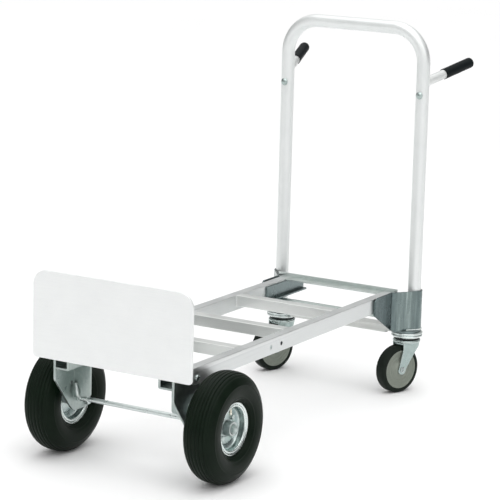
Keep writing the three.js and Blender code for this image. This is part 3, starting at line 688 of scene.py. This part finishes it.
HUB = [(-28, 12), (-28, 15.8), (-27.2, 16.6), (2.7, 16.6), (2.7, 31.4), (3.3, 32), (5.1, 32), (5.7, 31.4),
       (5.7, 17.4), (6.5, 16.6), (25.2, 16.6), (26, 15.8), (26, 12.6), (25.4, 12), (17, 12), (17, 6.4),
       (-19, 6.4), (-19, 12)]
BEARING = [(0, 6.35), (0, 11.7), (8.4, 11.7), (8.4, 10.2), (7.7, 9.9), (7.7, 8.1), (8.4, 7.8), (8.4, 6.35)]
BEARINGS = {"outer": 17.3, "inner": -27.7}
CLAMP_RING = [(6, 20), (6, 36.6), (6.5, 37), (7.5, 37), (8, 36.4), (8, 20.5), (7.6, 20)]
CLAMP_WASHER = [(7.9, 0), (7.9, 7.9), (9, 7.9), (9.2, 7.4), (9.2, 0)]
CLAMP_BOLT_RADIUS = 30
VALVE = [(0, 0), (0, 3.6), (5.4, 4), (6, 3.2), (12, 3.0), (12.3, 2.6), (12.8, 2.6), (13.1, 3.1),
         (16.6, 3.1), (17.2, 2.4), (17.2, 0)]
VALVE_FOOT = (17, 32)                    # along the axle from the wheel's middle, and above the axle
STUB_AXLE = [(151.7, 0), (151.7, 6), (252.6, 6), (253.4, 5.4), (254, 4.4), (254, 0)]
AXLE_SPACER = [(165.3, 6.3), (165.3, 9.4), (165.9, 10), (190.6, 10), (191.2, 9.4), (191.2, 6.3)]
AXLE_WASHER = [(245.8, 6.3), (245.8, 11.3), (246.1, 11.5), (247.1, 11.5), (247.4, 11.2), (247.4, 6.3)]
NUT_COLLAR = [(251.2, 6.3), (251.2, 8.2), (251.9, 7.9), (252.3, 7.2), (252.3, 6.3)]
TIE_ROD_HALF = [(0, 5.8), (128.4, 5.8), (128.8, 7.4), (129.4, 8), (158.2, 8), (158.7, 7.5), (158.7, 5.8),
                (172, 5.8), (172.8, 5.0), (172.8, 0)]


def tyre_profile():
    """The tyre's skin with tread grooves, a thin raised line and a bead step, and its hollow inside."""
    points = []
    for a, r in curve_through(mirrored(TYRE_HALF), 9):
        across = abs(a)
        raised = -sum(depth * math.exp(-((across - centre) / width) ** 2)
                      for centre, width, depth in TREAD_GROOVES)
        if across > 36:
            raised += 0.55 * math.exp(-((r - 103) / 1.3) ** 2)
        if across > 30:
            raised += 0.9 * math.exp(-((r - 73) / 1.5) ** 2)
        outward = Vector((a, (r - 90) * 1.1)).normalized()
        points.append((a + outward.x * raised, r + outward.y * raised))
    return points + TYRE_INSIDE + [(-a, r) for a, r in TYRE_INSIDE[-2::-1]]


def front_wheel(name, side):
    x, y, z = WHEEL
    place = about_x(side, WHEEL)
    turned_piece(f"tyre_cover_{name}", tyre_profile(), place, 128, "tyre", f"tyre_{name}", "tyre",
                 sharp=50)
    turned_piece(f"rim_face_outer_{name}", RIM, place, 128, "rim_zinc", f"rim_outer_{name}", "zinc")
    turned_piece(f"rim_face_inner_{name}", RIM, about_x(-side, (-x, y, z)), 128, "rim_zinc",
                 f"rim_inner_{name}", "zinc")
    turned_piece(f"hub_sleeve_{name}", HUB, place, 64, "zinc_dull", f"wheel_hub_{name}", "galvanised")
    for label, start in BEARINGS.items():
        turned_piece(f"bearing_ring_{label}_{name}", [(start + a, r) for a, r in BEARING], place, 48,
                     "zinc", f"bearing_{label}_{name}", "zinc")

    shell = Shell()
    shell.turned(CLAMP_RING, place, 64)
    for u, v in arc((0, 0), CLAMP_BOLT_RADIUS, 45, 315, 3):
        bolt = about_x(side, (x, y + u, z + v))
        shell.turned(CLAMP_WASHER, bolt, 24)
        shell.hexagon(bolt, 9, 13, 6.7, 0.8)
    shell.piece(f"rim_clamp_ring_{name}", "zinc", f"rim_clamp_{name}", "zinc", bevel=0.25)

    def up_the_valve(a, u, v):
        return place(VALVE_FOOT[0] + u, v, VALVE_FOOT[1] + a)

    turned_piece(f"valve_{name}", VALVE, up_the_valve, 24, "brass_nickel", f"valve_stem_{name}",
                 "brass_nickel")


def wheel_mounts():
    """Stub axles with their spacers and nuts, and the rod between the brackets."""
    for name, side in SIDES.items():
        place = about_x(side, (0, WHEEL[1], WHEEL[2]))
        shell = Shell()
        shell.turned(STUB_AXLE, place, 40)
        shell.hexagon(place, 158.7, 151.6, 10, 1.2)
        shell.piece(f"stub_axle_{name}_finish", "zinc", f"stub_axle_{name}", "zinc")
        turned_piece(f"axle_spacer_{name}_finish", AXLE_SPACER, place, 40, "zinc_dull",
                     f"axle_spacer_{name}", "zinc")
        shell = Shell()
        shell.turned(AXLE_WASHER, place, 40)
        shell.turned(NUT_COLLAR, place, 40)
        hexagon_ring(shell, place, 247.3, 251.4, 9.0, 6.3)
        shell.piece(f"axle_nut_{name}_finish", "zinc", f"axle_nut_{name}", "zinc", bevel=0.2)

    shell = Shell()
    shell.turned(mirrored(TIE_ROD_HALF), about_x(1, (0, *TIE_ROD)), 40)
    for side in SIDES.values():
        hexagon_ring(shell, about_x(side, (0, *TIE_ROD)), 165.3, 171.2, 7.9, 5.9)
    shell.piece("tie_rod_finish", "zinc_bright", "tie_rod", "zinc")


def hexagon_ring(shell, place, start, end, half_flats, bore):
    """A nut: hexagon outside, round bore, chamfered on the outer face."""
    turns = [i * TAU / 48 for i in range(48)]
    skin = [half_flats / math.cos((t + math.pi / 6) % (math.pi / 3) - math.pi / 6) for t in turns]
    cap = half_flats * 1.03
    rings = [[(start, bore) for _ in skin],
             [(start, r) for r in skin],
             [(end - max(0.0, r - cap) * 0.55 - 0.01, r) for r in skin],
             [(end, min(r, cap) * 0.985) for r in skin],
             [(end, bore) for _ in skin]]
    shell.grid([[place(a, r * math.cos(t), r * math.sin(t)) for t, (a, r) in zip(turns, ring)]
                for ring in rings], close_rings=True)


def wheel_brackets():
    """The CAD brackets with rounded edges, their welds, and a lug over each end of the rod."""
    for name, side in SIDES.items():
        refined(f"wheel_bracket_{name}", "galvanised_mid", "galvanised", 0.8, 3, dissolve=False)
        corner, under_saddle = side * (BRACKET_INNER - 1.2), side * (BRACKET_INNER - 1)
        tab = side * 133.6
        weld(f"bracket_weld_{name}", [
            [(corner, 89, 152), (corner, 89.2, 186), (corner, 89, 226)],
            [(under_saddle, 14, 230.2), (under_saddle, 50, 230.2), (under_saddle, 78, 230.2)],
            [(tab, 86.2, 221), (tab, 112, 221.4)],
        ], 1.5, "frame")
        shell = Shell()
        lug = curve_through([(side * 153, 80.5, 184), (side * 149.5, 79, 177), (side * 147, 78.5, 169),
                             (side * 146, 79.5, 160), (side * 146.5, 84, 152), (side * 147, 91, 148)], 6)
        swept(shell, lug, lambda distance: 3.4 + 1.5 * math.sin(min(distance, 40) / 40 * math.pi), 16)
        piece(f"rod_lug_{name}", clean_mesh("rod_lug", shell.bm), "galvanised_light", body="frame",
              slot="galvanised")


# ---------- rear carriage ----------
CASTER_RACE = [(159.7, 0), (159.7, 39.6), (159.2, 40.6), (158, 41), (156, 41), (154.9, 40.5),
               (154.2, 39.2), (153.6, 38.8), (153, 39.4), (152.2, 40.6), (150.8, 41), (148.6, 40.6),
               (147, 39), (145.9, 36.4), (145.5, 33), (145.5, 0)]
BALL_RING = [(140.3, 18), (140.3, 32.4), (141, 33), (144.6, 33), (145.2, 32.4), (145.2, 18)]
FORK_CROWN = [(140, 0), (140, 31.6), (139.6, 33.6), (138.6, 35), (137, 35.9), (135, 36), (133.2, 35.2),
              (132, 33.6), (130.8, 30), (130, 24), (130, 0)]
RIVET_HALF = [(0, 4), (22.3, 4), (22.3, 7.2), (22.8, 7.5), (23.3, 7.2), (23.8, 6.2), (23.8, 4.6),
              (23.2, 4.1), (22.7, 3), (18.3, 2.8), (17.9, 0)]
CASTER_TREAD_HALF = [(0, 62.5), (9, 62.4), (12.2, 61.8), (14.4, 60.3), (15.6, 58), (16, 55.4), (16, 52),
                     (15.6, 51)]
CASTER_CORE_HALF = [(0, 50.7), (15, 50.7), (15.5, 50.2), (15.5, 47.4), (15, 46.6), (13.2, 45.6),
                    (12.4, 44.4), (12.3, 39), (11.5, 38.5), (11.5, 37.5), (12.3, 37), (12.2, 31),
                    (11.4, 30.5), (11.4, 29.7), (12.2, 29.2), (12, 25), (12.6, 22.4), (14.4, 20),
                    (16.6, 17.6), (17.4, 16), (17.5, 8), (17.2, 5.2), (17.2, 4.35)]


def socket_paths():
    """Plan lines of the bent sheet's middle: the rail plate, the wrap round the tube, and a strip
    that closes the seam between them."""
    radius = TUBE["radius"] + SOCKET["gap"] + SOCKET["sheet"] / 2
    plate_x, bend, front = SOCKET["plate_x"], SOCKET["bend"], SOCKET["front"]
    dx, dy = TUBE["x"] - plate_x, TUBE["y"] - bend
    touch = math.atan2(dy, dx) - math.asin(radius / math.hypot(dx, dy)) - math.pi / 2
    first = Vector((TUBE["x"] + radius * math.cos(touch), TUBE["y"] + radius * math.sin(touch)))
    corner = Vector((plate_x, bend))
    along = (first - corner).normalized()
    plate = [Vector((plate_x, front + (bend - SEAM / 2 - front) * i / 8)) for i in range(9)]
    slope = [(corner + along * SEAM / 2).lerp(first, i / 5) for i in range(5)]
    bent = [Vector(p) for p in arc((TUBE["x"], TUBE["y"]), radius, math.degrees(touch), 90, 40)]
    wrap = [*slope, *bent, Vector((TUBE["x"] - SOCKET["lap"], TUBE["y"] + radius))]
    strip = [Vector((plate_x, bend - 8)), corner, corner + along * 8]
    return plate, wrap, strip


def right_of(line, i):
    """The flat direction to the right of a plan line at its point i."""
    ahead = direction_at(line, i)
    return Vector((ahead.y, -ahead.x))


def upright_sheet(shell, path, side, thickness, shift=0.0):
    """A sheet standing on the sloping lower edge of the socket, along a plan path."""
    rings = []
    for i, point in enumerate(path):
        across = right_of(path, i)
        run = point.y - SOCKET["front"]
        share = min(1.0, run / (SOCKET["slope_end"] - SOCKET["front"]))
        low = SOCKET["front_low"] + (BASE["top"] + 0.3 - SOCKET["front_low"]) * share
        top = min(SOCKET["top"], SOCKET["top"] - SOCKET["nick"] + run)
        a, b = (point + across * (shift + half) for half in (thickness / 2, -thickness / 2))
        rings.append([(side * a.x, a.y, low), (side * a.x, a.y, top),
                      (side * b.x, b.y, top), (side * b.x, b.y, low)])
    shell.grid(rings)


def socket(name, side):
    """The bent sheet along the rail and round the handle tube, the base plate under it and its welds."""
    plate, wrap, strip = socket_paths()
    front, sheet = SOCKET["front"], SOCKET["sheet"]
    shell = Shell()
    upright_sheet(shell, plate, side, sheet)
    upright_sheet(shell, wrap, side, sheet)
    upright_sheet(shell, strip, side, 1.2, -1.4)
    shell.prism(rectangle(front, front + 3.2, 224, 262), in_yz,
                side * (RAIL_OUTER + 0.4), side * (SOCKET["plate_x"] - 2.1))
    shell.piece(f"socket_{name}", "socket_steel", f"caster_bracket_{name}", "galvanised", bevel=0.8,
                segments=3, sharp=40)

    shell = Shell()
    shape = rectangle(side * BASE["inner"], side * BASE["outer"], BASE["front"], BASE["rear"],
                      (6, 22, 22, 22), 12)
    shell.prism(shape, in_xy, BASE["bottom"], BASE["top"])
    shell.piece(f"caster_base_{name}", "galvanised", f"caster_bracket_{name}", "galvanised", bevel=0.9,
                segments=3, sharp=40)

    foot = []
    for i in range(1, len(wrap) - 9):
        if wrap[i].y > BASE["front"] + 2:
            at = wrap[i] + right_of(wrap, i) * (sheet / 2 + 0.4)
            foot.append((side * at.x, at.y, BASE["top"] + 0.9))
    lap_x, lap_y = side * (TUBE["x"] - SOCKET["lap"] - 0.6), TUBE["y"] + TUBE["radius"] + sheet - 1.9
    under_x, under_z = side * (RAIL_OUTER + 2.6), DECK - RAIL_HEIGHT - 0.8
    weld(f"socket_weld_{name}", [
        foot,
        [(lap_x, lap_y, z) for z in (172, 215, 262)],
        [(under_x, 962, under_z), (under_x, 1005, under_z)],
    ], 1.9, "frame")


def rear_angle():
    """A flange between the rails, an upstand that runs over both of them, and a heel joining the two."""
    reach = RAIL_INNER - 0.3
    front, rear, sheet, top, span = (REAR_ANGLE[k] for k in ("front", "rear", "sheet", "top", "span"))
    shell = Shell()
    shell.prism(rectangle(front, rear, DECK - sheet, DECK, (0, 3, 0, 0)), in_yz, -reach, reach)
    shell.prism(rectangle(rear - sheet + 0.4, rear - 0.4, DECK - 1, DECK + 2), in_yz,
                0.5 - reach, reach - 0.5)
    shell.prism(rectangle(rear - sheet, rear, DECK + 0.3, top), in_yz, -span, span)
    shell.piece("rear_angle_finish", "galvanised_light", "rear_angle", "galvanised", bevel=0.5)


def inner_angle(name, side):
    """An angle along the inside of the rail: an upright web and a flange along its foot."""
    web = RAIL_INNER - 0.3
    front, rear, bottom, top, sheet = (INNER_ANGLE[k] for k in ("front", "rear", "bottom", "top", "sheet"))
    shell = Shell()
    shell.prism(rectangle(front, rear - 6, bottom, top, (2, 8, 14, 2), 8), in_yz,
                side * (web - sheet), side * web)
    shell.prism(rectangle(side * (web - 0.5), side * (web - INNER_ANGLE["flange"]), front, rear - 8,
                          (0, 1.5, 6, 0)), in_xy, bottom, bottom + sheet)
    shell.piece(f"inner_angle_{name}_finish", "galvanised", f"inner_angle_{name}", "galvanised",
                bevel=0.6, segments=3)


def rear_carriage():
    rear_angle()
    refined("lower_crossbar", "lower_aluminium", "rail_aluminium", 0.5)
    refined("rear_tie_bar", "galvanised_mid", "galvanised", 0.6)
    for name, side in SIDES.items():
        socket(name, side)
        inner_angle(name, side)
        caster(name, side)


def fork_leg_edges(z):
    """Where the fork leg's front and back edges are at a height."""
    top, waist, front, back, tip = (FORK[k] for k in ("top", "waist", "front", "back", "tip"))
    axle_y, axle_z = -CASTER["trail"], CASTER["radius"]
    if z > waist:
        share = (z - waist) / (top - waist)
        return front - share, back + 6 * share
    if z > axle_z:
        share = (waist - z) / (waist - axle_z)
        front += (axle_y - tip - front) * share ** 1.15
        back += (axle_y + tip - back) * share ** 0.92
        return front, back
    reach = math.sqrt(max(tip * tip - (axle_z - z) ** 2, 0))
    return axle_y - reach, axle_y + reach


def fork_leg(shell, place, side):
    """One pressed fork leg: tapered, with a lengthwise ridge, rolled edges and a round tip."""
    top, waist, tip, axle_z = FORK["top"], FORK["waist"], FORK["tip"], CASTER["radius"]
    heights = [top - (top - waist) * i / 4 for i in range(4)]
    heights += [waist - (waist - axle_z) * i / 12 for i in range(12)]
    heights += [axle_z - tip * math.sin(i * math.pi / 16) for i in range(8)] + [axle_z - tip * 0.985]
    columns = 14
    rings = []
    for z in heights:
        front, back = fork_leg_edges(z)
        ridge = 1.7 * min(1.0, max(0.0, (z - 70) / 26))
        outer, inner = [], []
        for k in range(columns + 1):
            share = k / columns
            y = front + (back - front) * share
            swell = ridge * math.exp(-((share - 0.46) / 0.2) ** 2)
            roll = -0.9 * (max(0.0, abs(share - 0.5) - 0.44) / 0.06) ** 2
            outer.append(place(side * (FORK["outer"] + swell + roll), y, z))
            inner.append(place(side * (FORK["inner"] + swell), y, z))
        rings.append(outer + inner[::-1])
    shell.grid(rings)


def caster(name, side):
    cx, cy = side * CASTER["x"], CASTER["y"]
    cos, sin = math.cos(math.radians(CASTER["turn"])), math.sin(math.radians(CASTER["turn"]))

    def about_head(a, u, v):
        return (cx + u, cy + v, a)

    def in_fork(x, y, z):
        """The fork's own axes, turned about its upright axis."""
        return (cx + x * cos - y * sin, cy + x * sin + y * cos, z)

    def about_crown(a, u, v):
        return in_fork(u, v, a)

    def about_axle(a, u, v):
        return in_fork(a, u - CASTER["trail"], v + CASTER["radius"])

    turned_piece(f"caster_race_{name}", CASTER_RACE, about_head, 96, "zinc_bright",
                 f"caster_plate_{name}", "zinc", sharp=50)
    # the bearing ring is coloured near black as painted shade in the swivel's gap
    turned_piece(f"caster_ball_ring_{name}", BALL_RING, about_head, 64, "seal",
                 f"caster_bearing_{name}", "galvanised")
    shell = Shell()
    shell.turned(FORK_CROWN, about_crown, 96)
    for leg in (1, -1):
        fork_leg(shell, in_fork, leg)
    shell.piece(f"caster_yoke_{name}", "zinc", f"caster_fork_{name}", "zinc", bevel=0.5, sharp=50)
    turned_piece(f"caster_rivet_{name}", mirrored(RIVET_HALF), about_axle, 40, "zinc_dull",
                 f"caster_axle_{name}", "zinc")
    turned_piece(f"caster_tyre_{name}", mirrored(CASTER_TREAD_HALF) + [(0, 51)], about_axle, 96,
                 "caster_tread", f"caster_tread_{name}", "caster_tread", sharp=50)
    turned_piece(f"caster_core_{name}", mirrored(CASTER_CORE_HALF), about_axle, 96, "caster_hub",
                 f"caster_hub_{name}", "caster_hub")


# ---------- handle ----------
DOME_BOLT = [(-12, 0), (-12, 4), (0, 4), (0, 9.3), (0.3, 9.5), (1.2, 9.5), (1.6, 9.2), (3.2, 8.4),
             (4.8, 6.6), (6.0, 4.2), (6.5, 2.0), (6.6, 0)]
GRIP_BORE_AND_LIP = [(182.1, 12.3), (79.6, 12.3), (79.1, 12.7), (79, 13.3), (79.4, 13.8), (80.4, 14.0),
                     (82.4, 14.0), (83.2, 13.7)]
GRIP_END = [(180.4, 13.6), (182.6, 13.1), (184.3, 12.0), (185.4, 10.2), (185.9, 7.5), (186, 4)]


def handle():
    """The bent tube in one piece, then its grip arms and dome bolts."""
    x, y, bottom, top, bend = (TUBE[k] for k in ("x", "y", "bottom", "top", "bend"))
    leg = [(x, bottom + (top - bend - bottom) * i / 24) for i in range(24)]
    half = leg + arc((x - bend, top - bend), bend, 0, 90, 28)
    bar = [((x - bend) * (1 - i / 5), top) for i in range(1, 10)]
    line = [Vector(p) for p in half + bar + [(-u, v) for u, v in half[::-1]]]
    skins = []
    for radius in (TUBE["radius"], TUBE["radius"] - TUBE["wall"]):
        skin = []
        for i, point in enumerate(line):
            ahead = direction_at(line, i)
            skin.append([(point.x - ahead.y * u, y + v, point.y + ahead.x * u)
                         for u, v in circle(radius, 64)])
        skins.append(skin)
    shell = Shell()
    shell.grid(skins[0] + skins[1][::-1], close_rings=True)
    shell.piece("handle_tube_finish", "anodised", "handle_tube", "anodised", sharp=50)

    for name, side in SIDES.items():
        grip_arm(name, side)

        def forward(a, u, v, side=side):
            return (side * x + u, y - TUBE["radius"] - 0.1 - a, STOP_BOLT_Z + v)

        turned_piece(f"dome_bolt_{name}", DOME_BOLT, forward, 48, "zinc", f"stop_bolt_{name}", "zinc")


def grip_arm(name, side):
    """The arm, cut to the handle tube, with its weld and its grip."""
    across = ARM_ALONG.cross(Vector((0, 0, 1))).normalized()
    upward = across.cross(ARM_ALONG).normalized()

    def at(a, u, v):
        p = ARM_START + ARM_ALONG * a + across * u + upward * v
        return (side * p.x, p.y, p.z)

    def round_the_tube(radius, gap):
        """A ring of the arm's radius where it meets the handle tube, gap outside its skin."""
        ring = []
        for u, v in circle(radius, 64):
            p, d = across * u + upward * v, ARM_ALONG
            a, b = d.x ** 2 + d.y ** 2, p.x * d.x + p.y * d.y
            c = p.x ** 2 + p.y ** 2 - (TUBE["radius"] + gap) ** 2
            ring.append(at((math.sqrt(max(b * b - a * c, 0)) - b) / a, u, v))
        return ring

    def rings(profile):
        return [[at(a, u, v) for u, v in circle(r, 64)] for a, r in profile]

    shell = Shell()
    straight = [(a, ARM_RADIUS) for a in (60, 120, 180.5)] + [(181.5, ARM_RADIUS - 1)]
    shell.grid([round_the_tube(ARM_RADIUS, 0.2), *rings(straight)])
    shell.piece(f"grip_arm_{name}_finish", "arm_aluminium", f"grip_arm_{name}", "anodised", sharp=50)
    bead = round_the_tube(ARM_RADIUS + 0.6, 0.6)
    weld(f"grip_arm_weld_{name}", [bead + bead[:1]], 1.5, "handle", "aluminium_weld", "anodised")

    ripple = []
    for i in range(50):
        a = 84.6 + i * 1.9
        ripple.append((a, 13.72 + 0.08 * math.cos((a - 130) / 24 * math.pi)))
    shell = Shell()
    shell.grid(rings(GRIP_BORE_AND_LIP + ripple + GRIP_END))
    shell.piece(f"grip_cover_{name}", "grip", f"grip_{name}", "grip", sharp=60)


# ---------- floor, light and camera ----------
def stage(name, mesh, material):
    """Links a mesh as part of the surroundings."""
    mesh.materials.append(material)
    obj = bpy.data.objects.new(name, mesh)
    SCENE.collection.objects.link(obj)
    return obj


def floor():
    n = Nodes("floor_paper", roughness=0.9)
    paper = n.ramp(n.noise(900, detail=1), [(0.3, (0.965, 0.965, 0.965)), (0.7, (0.98, 0.98, 0.98))])
    mesh = bpy.data.meshes.new("floor")
    reach = FLOOR_REACH
    mesh.from_pydata([(-reach, -reach, 0), (reach, -reach, 0), (reach, reach, 0), (-reach, reach, 0)],
                     [], [(0, 1, 2, 3)])
    stage("floor", mesh, n.finish(paper))


def backdrop():
    """A low white wall far off all round, so that a level view doesn't see the sky's edge."""
    bm = bmesh.new()
    low, high = ([bm.verts.new((x, y, z)) for x, y in circle(WALL_RADIUS, 96)] for z in (0, WALL_HEIGHT))
    for i in range(len(low)):
        j = (i + 1) % len(low)
        bm.faces.new((low[i], low[j], high[j], high[i]))
    mesh = bpy.data.meshes.new("backdrop")
    bm.to_mesh(mesh)
    bm.free()
    paper = Nodes("backdrop_paper", roughness=0.9, Emission_Color=(1, 1, 1, 1), Emission_Strength=1.0)
    wall = stage("backdrop", mesh, paper.finish())
    wall.visible_diffuse = wall.visible_glossy = wall.visible_shadow = False


def area_light(name, position, aim, width, height, power):
    data = bpy.data.lights.new(name, "AREA")
    data.shape, data.size, data.size_y = "RECTANGLE", width, height
    data.energy = power
    light = bpy.data.objects.new(name, data)
    light.location = position
    light.rotation_mode = "QUATERNION"
    light.rotation_quaternion = (Vector(aim) - Vector(position)).to_track_quat("-Z", "Y")
    SCENE.collection.objects.link(light)


def lights():
    area_light("overhead", (0.2, -0.4, 3.4), (0, 0.1, 0.3), 3.0, 3.0, 14)
    area_light("front_left", (-2.8, -3.2, 2.0), (0, -0.2, 0.35), 1.2, 1.8, 9)
    area_light("right", (3.6, -0.6, 2.1), (0, 0, 0.4), 0.9, 1.8, 9)


def world():
    """A studio sky: bright overhead, dark cards at the camera's left and right, dim behind the truck."""
    made = bpy.data.worlds.new("studio")
    made.use_nodes = True
    sky = Graph(made.node_tree, "Generated")

    def shade(axis, stops):
        """Brightness by how far a direction leans along an axis: 0 against it, 1 along it."""
        lean = sky.node("ShaderNodeVectorMath", "Value", {0: sky.coordinates, 1: axis},
                        operation="DOT_PRODUCT")
        share = sky.node("ShaderNodeMath", "Value", {0: lean, 1: 0.5, 2: 0.5}, operation="MULTIPLY_ADD")
        return sky.ramp(share, stops)

    cos, sin = math.cos(VIEW_AZIMUTH), math.sin(VIEW_AZIMUTH)
    colour = shade((0, 0, 1), SKY_UPWARD)
    for axis, stops in (((cos, sin, 0), SKY_ACROSS), ((-sin, cos, 0), SKY_AWAY)):
        colour = sky.mix(colour, shade(axis, stops), 1.0, "MULTIPLY")
    background = sky.tree.nodes["Background"].inputs
    sky.tree.links.new(colour, background["Color"])
    background["Strength"].default_value = SKY_STRENGTH
    SCENE.world = made


def camera():
    """The photograph's camera: where it stands, which way it looks, its roll and its lens."""
    azimuth, elevation, roll = VIEW_AZIMUTH, VIEW_ELEVATION, VIEW_ROLL
    look = Vector((-math.sin(azimuth) * math.cos(elevation), math.cos(azimuth) * math.cos(elevation),
                   -math.sin(elevation)))
    right = Vector((math.cos(azimuth), math.sin(azimuth), 0))
    up = right.cross(look)
    across = right * math.cos(roll) + up * math.sin(roll)
    over = up * math.cos(roll) - right * math.sin(roll)
    data = bpy.data.cameras.new("camera")
    data.sensor_width, data.sensor_fit, data.lens = CAMERA_SENSOR, "HORIZONTAL", CAMERA_LENS
    data.clip_start, data.clip_end = 0.1, 60
    obj = bpy.data.objects.new("camera", data)
    turn = Matrix((across, over, -look)).transposed().to_4x4()
    obj.matrix_world = Matrix.Translation(CAMERA_POSITION) @ turn
    SCENE.collection.objects.link(obj)
    SCENE.camera = obj


load_frame()
for wheel_name, wheel_side in SIDES.items():
    front_wheel(wheel_name, wheel_side)
wheel_mounts()
wheel_brackets()
rear_carriage()
handle()
floor()
backdrop()
lights()
world()
camera()
SCENE.view_settings.view_transform = "Standard"
SCENE.view_settings.look = "None"
